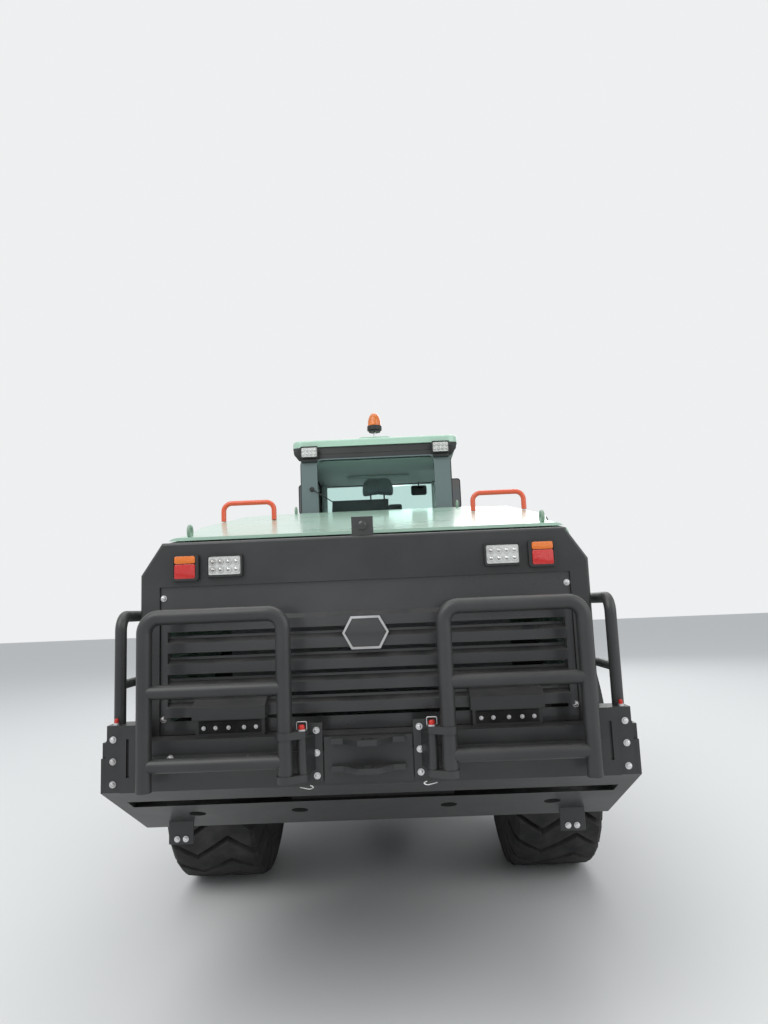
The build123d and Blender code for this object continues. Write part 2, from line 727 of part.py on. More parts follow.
with BuildPart() as work_lamps:
    for side in (-1, 1):
        centre = side * WORK_LAMP_X
        block((centre - 80, centre + 80), (COWL_REAR - 12, COWL_REAR), (LAMP_Z - 47, LAMP_Z + 53))
        block((centre - 70, centre + 70), (COWL_REAR - 18, COWL_REAR - 12), (LAMP_Z - 37, LAMP_Z + 43))
        lamp_x = sorted((side * (CAB_HALF - 163), side * (CAB_HALF - 13)))
        lamp_z = (CAB_HEAD - 40, CAB_ROOF - ROOF_T)
        block(lamp_x, (CAB_REAR - 60, CAB_REAR - 8), lamp_z)
        block(lamp_x, (CAB_HEAD_FRONT, CAB_HEAD_FRONT + 45), (CAB_HEAD, CAB_ROOF - ROOF_T))
finish(work_lamps, "work_lamps")

with BuildPart() as reversing_camera:
    block((-48, 48), (COWL_REAR + 20, COWL_REAR + 110), (COWL_TOP, COWL_TOP + 84))
    bar((0, COWL_REAR + 20, COWL_TOP + 46), (0, COWL_REAR + 8, COWL_TOP + 46), 22)
finish(reversing_camera, "reversing_camera")

# Hooded boxes on the counterweight in front of the grille

with BuildPart() as charge_boxes:
    back = COWL_REAR - LOUVRE_REACH - 2
    low, high = BOX_FACE_Z
    for side in (-1, 1):
        centre = side * BOX_X
        block((centre - BOX_HALF + 8, centre + BOX_HALF - 8), (BOX_FACE_Y + 30, back), (CW_TOP, low))
        yz_plate(
            (
                (back, low), (back, BOX_TOP), (BOX_FACE_Y + 45, BOX_TOP - 6), (BOX_FACE_Y, high),
                (BOX_FACE_Y, low), (BOX_FACE_Y + 6, low), (BOX_FACE_Y + 6, low + 20),
                (BOX_FACE_Y + 30, low + 20), (BOX_FACE_Y + 30, low),
            ),
            centre - BOX_HALF, centre + BOX_HALF,
        )
finish(charge_boxes, "charge_boxes")

# Guard brackets bolted on the counterweight

with BuildPart() as guard_brackets:
    for side in (-1, 1):
        block(sorted((side * BRACKET_X[0], side * BRACKET_X[1])), (CW_REAR - 14, CW_REAR), BRACKET_Z)
        bar((side * HINGE_X, HINGE_Y, HINGE_LOW), (side * HINGE_X, HINGE_Y, HINGE_HIGH), HINGE_PIN_R + 9)
        xy_plate(
            (
                (side * (BRACKET_X[1] - 24), CW_REAR - 14), (side * BRACKET_X[1], CW_REAR - 14),
                (side * HINGE_X, HINGE_Y + 5), (side * (HINGE_X - 18), HINGE_Y + 5),
            ),
            HINGE_LOW, HINGE_HIGH,
        )
        bar(
            (side * HINGE_X, HINGE_Y, HINGE_LOW - 1), (side * HINGE_X, HINGE_Y, HINGE_HIGH + 1),
            HINGE_PIN_R + PIN_GAP,
            mode=Mode.SUBTRACT,
        )
        channel_in, channel_out, ear_out = (side * x for x in SIDE_BRACKET_X)
        low, high = SIDE_BRACKET_Z
        block(sorted((channel_in, channel_out)), (CW_REAR - 22, CW_REAR), (low, high))
        block(sorted((channel_in, ear_out - side * 4)), (CW_REAR - 12, SIDE_Y + 45), (CW_TOP, high))
        xz_plate(
            (
                (channel_out, low), (ear_out, low), (ear_out, CW_TOP + 5), (ear_out - side * 10, high - 36),
                (ear_out - side * 30, high - 26), (channel_out, high - 26),
            ),
            CW_REAR - 12, CW_REAR,
        )
        slot = sorted((channel_in + side * 37, channel_in + side * 49))
        block(slot, (CW_REAR - 23, CW_REAR - 10), SIDE_SLOT_Z, mode=Mode.SUBTRACT)
        pin_foot, pin_head = (side * SIDE_X, SIDE_Y, CW_TOP - 1), (side * SIDE_X, SIDE_Y, high + 1)
        bar(pin_foot, pin_head, SIDE_PIN_R + PIN_GAP, mode=Mode.SUBTRACT)
finish(guard_brackets, "guard_brackets")

# Rear guards: tube frames that swing on their inner pins

for name, side in SIDES:
    with BuildPart() as guard:
        bent_tube(
            (
                (side * GUARD_IN, GUARD_Y, GUARD_LUGS[0] + 3), (side * GUARD_IN, GUARD_Y, GUARD_TOP),
                (side * GUARD_OUT, GUARD_Y, GUARD_TOP), (side * GUARD_OUT, GUARD_Y, 1130),
            ),
            GUARD_BEND, TUBE_R,
        )
        for z in GUARD_BARS:
            bar((side * GUARD_IN, GUARD_Y, z), (side * GUARD_OUT, GUARD_Y, z), TUBE_R - 3)
        for z in GUARD_LUGS:
            with BuildSketch(Plane.XY.offset(z)) as lug:
                with Locations((side * GUARD_IN, GUARD_Y)):
                    Circle(TUBE_R + 5)
                with Locations((side * HINGE_X, HINGE_Y)):
                    Circle(HINGE_PIN_R + 11)
                make_hull()
            extrude(lug.sketch, amount=LUG_T, dir=(0, 0, 1))
        pin_low, pin_high = GUARD_LUGS[0] - 15, GUARD_LUGS[1] + LUG_T + 8
        bar((side * HINGE_X, HINGE_Y, pin_low), (side * HINGE_X, HINGE_Y, pin_high), HINGE_PIN_R)
    finish(guard, f"rear_guard_{name}")

# Side guards: U tubes that run forward beside the cowl and swing on their rear legs

for name, side in SIDES:
    with BuildPart() as guard:
        foot = SIDE_BRACKET_Z[1] + SEAT_GAP
        bent_tube(
            (
                (side * SIDE_X, SIDE_Y, foot), (side * SIDE_X, SIDE_Y, SIDE_TOP),
                (side * SIDE_X, SIDE_FRONT, SIDE_TOP), (side * SIDE_X, SIDE_FRONT, CW_TOP + 6),
            ),
            GUARD_BEND, SIDE_TUBE_R,
        )
        bar((side * SIDE_X, SIDE_Y, SIDE_BAR), (side * SIDE_X, SIDE_FRONT, SIDE_BAR), SIDE_TUBE_R - 5)
        bar((side * SIDE_X, SIDE_Y, CW_TOP + 5), (side * SIDE_X, SIDE_Y, foot + 1), SIDE_PIN_R)
    finish(guard, f"side_guard_{name}")

# Rear mudguards over the tyres, outside the hood

with BuildPart() as rear_mudguards:
    for low, high in mirrored(HOOD_HALF, MUDGUARD_OUT):
        mudguard(REAR_Y, low, high, 24, 156)
finish(rear_mudguards, "rear_mudguards")

with BuildPart() as front_mudguards:
    for low, high in mirrored(FRONT_GUARD_IN, MUDGUARD_OUT):
        mudguard(FRONT_Y, low, high, 70, 172)
    for low, high in mirrored(FRONT_OUT + OUTER_T, FRONT_GUARD_IN + 2):
        block((low, high), (FRONT_Y - 690, FRONT_Y - 640), (1290, 1350))
finish(front_mudguards, "front_mudguards")

# Orange handrails on the hood

with BuildPart() as handrails:
    for side in (-1, 1):
        foot = COWL_TOP + hood_rise(RAIL_BAR_Y + 17 - COWL_REAR) + SEAT_GAP
        bent_tube(
            (
                (side * 1040, RAIL_BAR_Y, foot), (side * 1040, RAIL_BAR_Y, 2572),
                (side * 690, RAIL_BAR_Y, 2572), (side * 690, RAIL_BAR_Y, foot),
            ),
            55, 17,
        )
finish(handrails, "handrails")

# Steps and platforms beside the cab

with BuildPart() as access_steps:
    for low, high in mirrored(STEP_IN, STEP_OUT):
        block((low, high), STEP_Y, (CAB_LOW - 40, CAB_LOW - 12))
        for plate_y in (STEP_Y[0], STEP_Y[1] - 12):
            yz_plate(
                ((plate_y, 520), (plate_y, CAB_LOW - 12), (plate_y + 12, CAB_LOW - 12), (plate_y + 12, 520)),
                low + 250 if low > 0 else low, high if low > 0 else high - 250,
            )
        for z in STEP_Z:
            tread = (low + 250, high) if low > 0 else (low, high - 250)
            block(tread, (STEP_Y[0] + 12, STEP_Y[1] - 12), (z, z + 22))
finish(access_steps, "access_steps")

# Cab: hollow shell with windows and the doorway cut

with BuildPart() as cab_shell:
    yz_plate(cab_outline(0), -CAB_HALF, CAB_HALF)
    corners = cab_shell.edges().filter_by(Axis.Z)
    fillet(corners, radius=60)
    yz_plate(cab_outline(CAB_WALL), -CAB_HALF + CAB_WALL, CAB_HALF - CAB_WALL, mode=Mode.SUBTRACT)
    for low, high in WINDOW_SPANS:
        yz_plate(
            ((low, WINDOW_LOW), (low, WINDOW_TOP), (high, WINDOW_TOP), (high, WINDOW_LOW)),
            0, CAB_HALF + 10, mode=Mode.SUBTRACT,
        )
    low, high = WINDOW_SPANS[0]
    yz_plate(
        ((low, WINDOW_LOW), (low, WINDOW_TOP), (high, WINDOW_TOP), (high, WINDOW_LOW)),
        -CAB_HALF - 10, 0, mode=Mode.SUBTRACT,
    )
    block((-CAB_HALF - 10, 0), (DOOR_REAR, DOOR_FRONT), (CAB_FLOOR - 20, WINDOW_TOP), mode=Mode.SUBTRACT)
    block((-REAR_GLASS, REAR_GLASS), (CAB_REAR - 10, CAB_REAR + CAB_WALL + 10), REAR_GLASS_Z, mode=Mode.SUBTRACT)
    block(
        (-FRONT_GLASS, FRONT_GLASS), (CAB_FRONT - CAB_WALL - 60, CAB_FRONT + 60), (WINDOW_LOW, WINDOW_TOP),
        mode=Mode.SUBTRACT,
    )
finish(cab_shell, "cab_shell")

with BuildPart() as cab_roof:
    block((-ROOF_HALF, ROOF_HALF), (CAB_REAR - 20, CAB_FRONT + 120), (CAB_ROOF - ROOF_T, CAB_ROOF))
    roof_corners = cab_roof.edges().filter_by(Axis.Z)
    fillet(roof_corners, radius=90)
    fillet(cab_roof.faces().sort_by(Axis.Z)[-1].edges(), radius=18)
    block((-CAB_HALF + 40, CAB_HALF - 40), (CAB_REAR, CAB_HEAD_FRONT), (CAB_HEAD, CAB_ROOF - ROOF_T))
    pad = CAB_ROOF + BEACON_PAD
    with BuildSketch(Plane.XZ.offset(-BEACON_Y - 110)) as pad_face:
        with BuildLine():
            Polyline((-190, CAB_ROOF - 5), (-110, pad), (110, pad), (190, CAB_ROOF - 5), close=True)
        make_face()
    extrude(pad_face.sketch, amount=220, dir=(0, -1, 0))
finish(cab_roof, "cab_roof")

with BuildPart() as cab_glass:
    inner = CAB_HALF - CAB_WALL
    for side, spans in ((1, WINDOW_SPANS), (-1, WINDOW_SPANS[:1])):
        for low, high in spans:
            face = sorted((side * (inner + 20), side * (inner + 26)))
            block(face, (low + PIN_GAP, high - PIN_GAP), (WINDOW_LOW + PIN_GAP, WINDOW_TOP - PIN_GAP))
    pane_z = (REAR_GLASS_Z[0] - 120, CAB_HEAD - 42)
    block((-CAB_HALF + 10, CAB_HALF - 10), (CAB_REAR - 7, CAB_REAR - SEAT_GAP), pane_z)
    block(
        (-FRONT_GLASS + PIN_GAP, FRONT_GLASS - PIN_GAP), (CAB_FRONT - 24, CAB_FRONT - 18),
        (WINDOW_LOW + PIN_GAP, WINDOW_TOP - PIN_GAP),
    )
finish(cab_glass, "cab_glass")

# Door on the left, hinged at its rear edge

with BuildPart() as cab_door:
    door_y = (DOOR_REAR + DOOR_GAP, DOOR_FRONT - DOOR_GAP)
    door_z = (CAB_FLOOR - 20 + DOOR_GAP, WINDOW_TOP - DOOR_GAP)
    block((-CAB_HALF, -CAB_HALF + CAB_WALL - 8), door_y, door_z)
    block(
        (-CAB_HALF - 5, -CAB_HALF + CAB_WALL), (door_y[0] + DOOR_FRAME, door_y[1] - DOOR_FRAME),
        (door_z[0] + 260, door_z[1] - DOOR_FRAME),
        mode=Mode.SUBTRACT,
    )
    for z in (1850, 2750):
        bar((-DOOR_PIN_X, DOOR_PIN_Y, z), (-DOOR_PIN_X, DOOR_PIN_Y, z + 90), DOOR_PIN_R)
        block((-DOOR_PIN_X, -CAB_HALF), (DOOR_REAR + DOOR_GAP, DOOR_REAR + 40), (z + 5, z + 85))
    block((-CAB_HALF - 40, -CAB_HALF), (DOOR_FRONT - 80, DOOR_FRONT - 60), (2010, 2130))
finish(cab_door, "cab_door")

with BuildPart() as door_glass:
    block(
        (-CAB_HALF + 14, -CAB_HALF + 20), (door_y[0] + DOOR_FRAME + 0.5, door_y[1] - DOOR_FRAME - 0.5),
        (door_z[0] + 260.5, door_z[1] - DOOR_FRAME - 0.5),
    )
finish(door_glass, "door_glass")

# Inside the cab

with BuildPart() as seat:
    block((-250, 250), (-640, -180), (SEAT_Z, SEAT_Z + 120))
    yz_plate(((-760, SEAT_Z + 130), (-640, SEAT_Z + 125), (-720, 2730), (-800, 2720)), -240, 240)
    yz_plate(((-800, 2795), (-715, 2803), (-730, 2972), (-805, 2962)), -140, 150)
    for post in (-60, 60):
        bar((post, -758, 2700), (post, -762, 2840), 7)
    block((-230, 230), (-740, -560), (SEAT_Z + 60, SEAT_Z + 140))
finish(seat, "seat")

with BuildPart() as operator_controls:
    block((-190, 190), (-660, -220), (CAB_FLOOR, SEAT_Z))
    block((290, 430), (-700, -150), (CAB_FLOOR, 2160))
    block((-390, 97), (-900, -860), (CAB_FLOOR, 2752))
    bar((360, -260, 2160), (360, -240, 2290), 18)
    block((-70, 70), (120, 240), (CAB_FLOOR, CAB_FLOOR + 40))
    bar((0, 190, CAB_FLOOR + 20), (0, 14, 2352), 40)
    with Locations(Location((0, 14, 2352), (-15, 0, 0))):
        Torus(190, 16)
    bar((-190, 20, 2353), (190, 20, 2353), 9)
finish(operator_controls, "operator_controls")

with BuildPart() as beacon:
    foot = CAB_ROOF + BEACON_PAD
    with BuildSketch(Plane.XZ.offset(-BEACON_Y)) as lamp_half:
        with BuildLine():
            Polyline(
                (0, foot), (12, foot), (12, foot + 68), (50, foot + 68), (50, foot + 80), (64, foot + 80),
                (64, foot + 121), (56, foot + 121), (54, foot + 185), (38, foot + 224), (0, foot + 241),
                close=True,
            )
        make_face()
    revolve(lamp_half.sketch, axis=Axis((0, BEACON_Y, 0), (0, 0, 1)))
finish(beacon, "beacon")

with BuildPart() as mirrors:
    for side in (-1, 1):
        mirror_x = sorted((side * MIRROR_X[0], side * MIRROR_X[1]))
        block(mirror_x, (MIRROR_Y - 20, MIRROR_Y + 20), (2800, 3110))
        arm_end = side * (MIRROR_X[0] + 80)
        bar((side * (CAB_HALF + SEAT_GAP), MIRROR_Y - 15, 2900), (arm_end, MIRROR_Y - 15, 2900), 11)
finish(mirrors, "mirrors")

# Steering cylinders

for name, side in SIDES:
    base = (side * STEER_BASE[0], STEER_BASE[1], STEER_Z)
    eye = (side * STEER_EYE[0], STEER_EYE[1], STEER_Z)
    with BuildPart() as barrel:
        bar(along(base, eye, STEER_PIN_R + 4), along(base, eye, STEER_BARREL_L), STEER_BARREL_R)
        bar((base[0], base[1], STEER_Z - 53), (base[0], base[1], STEER_Z + 53), 55)
        bar(
            (base[0], base[1], STEER_Z - 54), (base[0], base[1], STEER_Z + 54), STEER_PIN_R + PIN_GAP,
            mode=Mode.SUBTRACT,
        )
        bar(along(base, eye, 70), along(base, eye, STEER_BARREL_L + 1), STEER_ROD_R + PIN_GAP, mode=Mode.SUBTRACT)
    finish(barrel, f"steering_barrel_{name}")
    with BuildPart() as rod:
        reach = hypot(eye[0] - base[0], eye[1] - base[1])
        bar(along(base, eye, STEER_ROD_BACK), along(base, eye, reach - 40), STEER_ROD_R)
        bar((eye[0], eye[1], STEER_Z - 38), (eye[0], eye[1], STEER_Z + 38), 48)
    finish(rod, f"steering_rod_{name}")

# Front frame: pivot lugs, rear wall, twin towers, axle saddle

with BuildPart() as front_frame:
    block((-FRONT_OUT - OUTER_T, FRONT_OUT + OUTER_T), (FRONT_WALL_Y, FRONT_WALL_Y + 30), (FORK_LOW + 30, 1340))
    for low, high in PIVOT_LUGS:
        xy_plate(
            (
                (-FRONT_IN, FRONT_WALL_Y), (-PIVOT_EYE_R, 30), (-PIVOT_EYE_R * 0.7, -PIVOT_EYE_R * 0.7),
                (0, -PIVOT_EYE_R), (PIVOT_EYE_R * 0.7, -PIVOT_EYE_R * 0.7), (PIVOT_EYE_R, 30),
                (FRONT_IN, FRONT_WALL_Y),
            ),
            low, high,
            holes=((0, 0, PIVOT_PIN_R + PIVOT_GAP),),
        )
    bar((0, FRONT_WALL_Y - 10, SHAFT_Z), (0, FRONT_WALL_Y + 40, SHAFT_Z), 110, mode=Mode.SUBTRACT)
    for low, high in mirrored(FRONT_IN, FRONT_IN + FRONT_T):
        yz_plate(
            (
                (FRONT_WALL_Y, FORK_LOW + 30), (FRONT_WALL_Y, 1340), (720, 1385), (810, 2090), (860, 2210),
                (980, 2260), (1100, 2210), (1150, 2090), (1250, 1500), (1420, 1060), (FRONT_NOSE, 1040),
                (FRONT_NOSE, FRONT_BELLY), (1360, FRONT_BELLY), (1240, 720), (900, FORK_LOW + 30),
            ),
            low, high,
        )
    for low, high in mirrored(FRONT_OUT, FRONT_OUT + OUTER_T):
        yz_plate(
            (
                (FRONT_WALL_Y, 780), (FRONT_WALL_Y, 1340), (730, 1385), (820, 2090), (870, 2200), (980, 2245),
                (1090, 2200), (1140, 2090), (1180, 1500), (1030, 1050), (760, 780),
            ),
            low, high,
        )
    for low, high in mirrored(FRONT_IN + FRONT_T, FRONT_OUT):
        x_bar(BOOM_PIN, 52, low, high)
        x_bar(LIFT_BASE, LIFT_PIN_R, low, high)
        block((low, high), (FRONT_WALL_Y + 30, 560), (780, 800))
    block((-FRONT_IN, FRONT_IN), (900, 1120), (1720, 1760))
    block((-FRONT_IN, FRONT_IN), (1180, 1360), (FRONT_BELLY, FRONT_BELLY + 30))
    block((-FRONT_IN, FRONT_IN), (880, 920), (FRONT_BELLY, 1420))
    for low, high in mirrored(TILT_EYE + 8, TILT_EYE + 38):
        yz_plate(((920, 1760), (950, 1980), (1000, 2005), (1050, 2000), (1090, 1950), (1110, 1760)), low, high)
    x_bar(TILT_PIN, 36, -TILT_EYE - 8, TILT_EYE + 8)
    for side in (-1, 1):
        for low, high in STEER_EYE_EARS:
            xy_plate(
                (
                    (side * (STEER_EYE[0] - 75), FRONT_WALL_Y), (side * (STEER_EYE[0] - 50), STEER_EYE[1] - 40),
                    (side * STEER_EYE[0], STEER_EYE[1] - 62), (side * (STEER_EYE[0] + 50), STEER_EYE[1] - 40),
                    (side * (STEER_EYE[0] + 75), FRONT_WALL_Y),
                ),
                low, high,
            )
        pocket_x = sorted((side * (STEER_EYE[0] - EYE_POCKET), side * (STEER_EYE[0] + EYE_POCKET)))
        pocket_z = (STEER_EYE_EARS[0][1], STEER_EYE_EARS[1][0])
        block(pocket_x, (FRONT_WALL_Y - 1, FRONT_WALL_Y + 30), pocket_z, mode=Mode.SUBTRACT)
finish(front_frame, "front_frame")

with BuildPart() as front_lamps:
    for side in (-1, 1):
        block(sorted((side * 560, side * 760)), (1010, 1090), (2300, 2440))
        block(sorted((side * 560, side * 760)), (1090, 1100), (2310, 2430))
        bar((side * 620, 1040, 2190), (side * 620, 1040, 2300), 14)
        block(sorted((side * (FRONT_OUT + OUTER_T), side * 660)), (1015, 1065), (2150, 2200))
finish(front_lamps, "front_lamps")

# Lift cylinders, one pair on one axis, beside the arms

with BuildPart() as lift_barrels:
    for x in (-LIFT_X, LIFT_X):
        base = (x, *LIFT_BASE)
        eye = (x, *LIFT_EYE)
        bar(along(base, eye, 50), along(base, eye, LIFT_BARREL_L), LIFT_BARREL_R)
        x_bar(LIFT_BASE, 72, x - 62, x + 62)
        x_bar(LIFT_BASE, LIFT_PIN_R + PIN_GAP, x - 63, x + 63, mode=Mode.SUBTRACT)
        bar(along(base, eye, 86), along(base, eye, LIFT_BARREL_L + 1), LIFT_ROD_R + PIN_GAP, mode=Mode.SUBTRACT)
finish(lift_barrels, "lift_barrels")

with BuildPart() as lift_rods:
    for x in (-LIFT_X, LIFT_X):
        base = (x, *LIFT_BASE)
        eye = (x, *LIFT_EYE)
        reach = hypot(eye[1] - base[1], eye[2] - base[2])
        bar(along(base, eye, LIFT_ROD_BACK), along(base, eye, reach - 20), LIFT_ROD_R)
        x_bar(LIFT_EYE, 62, x - 62, x + 62)
finish(lift_rods, "lift_rods")

# Tilt cylinder

base = (0, *TILT_PIN)
eye = (0, *BELL_TOP)
with BuildPart() as tilt_barrel:
    bar(along(base, eye, 55), along(base, eye, TILT_BARREL_L), TILT_BARREL_R)
    x_bar(TILT_PIN, 68, -TILT_EYE, TILT_EYE)
    x_bar(TILT_PIN, 36 + PIN_GAP, -TILT_EYE - 1, TILT_EYE + 1, mode=Mode.SUBTRACT)
    bar(along(base, eye, 95), along(base, eye, TILT_BARREL_L + 1), TILT_ROD_R + PIN_GAP, mode=Mode.SUBTRACT)
finish(tilt_barrel, "tilt_barrel")

with BuildPart() as tilt_rod:
    reach = hypot(eye[1] - base[1], eye[2] - base[2])
    bar(along(base, eye, TILT_ROD_BACK), along(base, eye, reach - 50), TILT_ROD_R)
    x_bar(BELL_TOP, 62, -TILT_EYE, TILT_EYE)
finish(tilt_rod, "tilt_rod")

# Boom: two arms, the cross tube, the bell crank brackets

with BuildPart() as boom:
    for low, high in mirrored(ARM_IN, ARM_IN + ARM_T):
        with BuildSketch(Plane.YZ.offset(low)) as arm:
            with BuildLine():
                Polyline(*ARM_TOP, *ARM_BOTTOM, close=True)
            make_face()
            with Locations(BOOM_PIN):
                Circle(130)
            with Locations(BUCKET_PIN):
                Circle(120)
            with Locations(BOOM_PIN):
                Circle(52 + PIN_GAP, mode=Mode.SUBTRACT)
            with Locations(BUCKET_PIN):
                Circle(BUCKET_PIN_R + PIN_GAP, mode=Mode.SUBTRACT)
        extrude(arm.sketch, amount=high - low, dir=(1, 0, 0))
    x_bar(CROSS_TUBE, CROSS_R, -ARM_IN, ARM_IN)
    for low, high in mirrored(BELL_HALF + BRACKET_GAP, BELL_HALF + BRACKET_GAP + EAR_T):
        eye_plate((BELL_PIN, (BELL_PIN[0] - 140, BELL_PIN[1] - 40), CROSS_TUBE), (95, 80, CROSS_R), low, high)
        x_bar(BELL_PIN, BELL_PIN_R + PIN_GAP, low - 1, high + 1, mode=Mode.SUBTRACT)
finish(boom, "boom")

with BuildPart() as bell_crank_pin:
    headed_pin(BELL_PIN, BELL_PIN_R, BELL_HEAD_R, -BELL_HALF - BRACKET_GAP - EAR_T, BELL_HALF + BRACKET_GAP + EAR_T)
finish(bell_crank_pin, "bell_crank_pin")

with BuildPart() as bell_crank:
    for low, high in mirrored(TILT_EYE + 8, BELL_HALF):
        eye_plate((BELL_TOP, BELL_PIN), (80, 125), low, high)
        eye_plate((BELL_PIN, BELL_LOW), (125, 95), low, high)
    x_bar(BELL_PIN, 110, -BELL_HALF, BELL_HALF)
    x_bar(BELL_PIN, BELL_PIN_R + PIN_GAP, -BELL_HALF - 1, BELL_HALF + 1, mode=Mode.SUBTRACT)
finish(bell_crank, "bell_crank")

with BuildPart() as bucket_link:
    eye_plate((BELL_LOW, LINK_PIN), (62, 62), -LINK_HALF, LINK_HALF)
    x_bar(BELL_LOW, 78, -LINK_HALF, LINK_HALF)
    x_bar(LINK_PIN, 78, -LINK_HALF, LINK_HALF)
    x_bar(LINK_PIN, LINK_PIN_R + PIN_GAP, -LINK_HALF - 1, LINK_HALF + 1, mode=Mode.SUBTRACT)
finish(bucket_link, "bucket_link")

with BuildPart() as link_pin:
    headed_pin(LINK_PIN, LINK_PIN_R, LINK_HEAD_R, -LINK_HALF - BRACKET_GAP - EAR_T, LINK_HALF + BRACKET_GAP + EAR_T)
finish(link_pin, "link_pin")

with BuildPart() as bucket_pins:
    for low, high in mirrored(ARM_IN - EAR_GAP - EAR_T, ARM_IN + ARM_T + EAR_GAP + EAR_T):
        headed_pin(BUCKET_PIN, BUCKET_PIN_R, BUCKET_HEAD_R, low, high)
finish(bucket_pins, "bucket_pins")

# Bucket: a curved shell between two side plates, ears for the boom and the link

with BuildPart() as bucket:
    with BuildSketch(Plane.YZ.offset(-BUCKET_HALF)) as shell:
        with BuildLine():
            bucket_line(0, EDGE_BACK)
            bucket_line(BUCKET_T, EDGE_BACK)
            Line((EDGE_BACK, 0), (EDGE_BACK, BUCKET_T))
            Line((SPILL_Y, BUCKET_TOP), (SPILL_Y + BUCKET_T, BUCKET_TOP))
        make_face()
    extrude(shell.sketch, amount=2 * BUCKET_HALF, dir=(1, 0, 0))
    for low, high in mirrored(BUCKET_HALF - 30, BUCKET_HALF):
        with BuildSketch(Plane.YZ.offset(low)) as cheek:
            with BuildLine():
                bucket_line(0, EDGE_BACK)
                Polyline(
                    (SPILL_Y, BUCKET_TOP), (SPILL_Y + 130, BUCKET_TOP), (BUCKET_LIP - 330, 340),
                    (BUCKET_LIP - 130, 130), (BUCKET_LIP - 130, EDGE_T + SEAT_GAP),
                    (EDGE_BACK, EDGE_T + SEAT_GAP),
                    (EDGE_BACK, 0),
                )
            make_face()
        extrude(cheek.sketch, amount=high - low, dir=(1, 0, 0))
    ear_in = ARM_IN - EAR_GAP
    ear_out = ARM_IN + ARM_T + EAR_GAP
    for low, high in (*mirrored(ear_in - EAR_T, ear_in), *mirrored(ear_out, ear_out + EAR_T)):
        with BuildSketch(Plane.YZ.offset(low)) as ear:
            with Locations(BUCKET_PIN):
                Circle(105)
            with BuildLine():
                Polyline((2875, 395), (3350, 900), (3350, 120), (2955, 201), close=True)
            make_face()
        extrude(ear.sketch, amount=high - low, dir=(1, 0, 0))
    for low, high in mirrored(LINK_HALF + BRACKET_GAP, LINK_HALF + BRACKET_GAP + EAR_T):
        with BuildSketch(Plane.YZ.offset(low)) as ear:
            with Locations(LINK_PIN):
                Circle(90)
            with BuildLine():
                Polyline((3130, 620), (3350, 850), (3350, 240), (3095, 464), close=True)
            make_face()
        extrude(ear.sketch, amount=high - low, dir=(1, 0, 0))
    with BuildSketch(Plane.YZ.offset(-BUCKET_HALF + 30)) as cavity:
        with BuildLine():
            bucket_line(BUCKET_T, BUCKET_LIP)
            Polyline(
                (SPILL_Y + BUCKET_T, BUCKET_TOP), (BUCKET_LIP, BUCKET_TOP), (BUCKET_LIP, BUCKET_T),
            )
        make_face()
    extrude(cavity.sketch, amount=2 * BUCKET_HALF - 60, dir=(1, 0, 0), mode=Mode.SUBTRACT)
    x_bar(BUCKET_PIN, BUCKET_PIN_R + PIN_GAP, -ARM_IN - 200, ARM_IN + 200, mode=Mode.SUBTRACT)
    x_bar(LINK_PIN, LINK_PIN_R + PIN_GAP, -LINK_HALF - 50, LINK_HALF + 50, mode=Mode.SUBTRACT)
finish(bucket, "bucket")

with BuildPart() as cutting_edge:
    yz_plate(
        ((EDGE_BACK, 0), (EDGE_BACK, EDGE_T), (BUCKET_LIP - 60, EDGE_T), (BUCKET_LIP, 8), (BUCKET_LIP, 0)),
        -BUCKET_HALF, BUCKET_HALF,
    )
finish(cutting_edge, "cutting_edge")
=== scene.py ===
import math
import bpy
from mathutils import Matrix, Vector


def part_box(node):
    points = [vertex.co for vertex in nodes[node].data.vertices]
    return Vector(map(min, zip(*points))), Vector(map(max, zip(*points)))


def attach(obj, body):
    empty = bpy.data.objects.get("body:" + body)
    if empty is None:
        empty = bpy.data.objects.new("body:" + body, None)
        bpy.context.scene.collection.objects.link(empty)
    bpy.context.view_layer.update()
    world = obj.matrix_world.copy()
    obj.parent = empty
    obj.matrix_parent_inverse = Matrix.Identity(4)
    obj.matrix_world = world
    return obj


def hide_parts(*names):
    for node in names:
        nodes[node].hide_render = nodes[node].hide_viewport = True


bl_info = {
    "name": "Electric wheel loader",
    "version": (1, 0, 0),
    "blender": (4, 5, 0),
    "location": "View3D > Sidebar > Loader",
    "description": "Dresses an articulated electric wheel loader: tyres, lamps, fasteners, cab trim and paint",
    "category": "Object",
}

import bmesh
import bpy
from bpy.props import FloatProperty, FloatVectorProperty, IntProperty, PointerProperty
from mathutils import Matrix, Vector

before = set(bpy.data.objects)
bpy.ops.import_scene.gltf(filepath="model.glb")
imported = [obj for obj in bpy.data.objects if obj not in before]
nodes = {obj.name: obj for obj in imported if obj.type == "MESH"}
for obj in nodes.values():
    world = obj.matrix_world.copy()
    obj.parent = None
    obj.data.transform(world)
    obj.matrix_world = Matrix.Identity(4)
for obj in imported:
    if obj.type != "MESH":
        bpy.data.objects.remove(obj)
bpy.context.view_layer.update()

AXLE_Y = 1.65
WHEELS = (
    ("front_left", -1, AXLE_Y), ("front_right", 1, AXLE_Y), ("rear_left", -1, -AXLE_Y), ("rear_right", 1, -AXLE_Y),
)
SIDES = (("left", -1), ("right", 1))
TRACK_HALF = 1.095
AXLE_Z = 0.79
TYRE_R = 0.79
COWL_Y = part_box("rear_cowl")[0].y
TAIL_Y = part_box("counterweight")[0].y
CAB_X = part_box("cab_shell")[1].x
CAB_REAR_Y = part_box("cab_shell")[0].y
COWL_TOP_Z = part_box("reversing_camera")[0].z
BEACON_FOOT = (0, -0.9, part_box("cab_roof")[1].z)
WINDOW_LOW, WINDOW_TOP = 2.130, 3.075
GUARD_PIN = (0.258, -4.13)
SIDE_PIN = (1.030, -4.0445)
FLAP_Y = -3.592
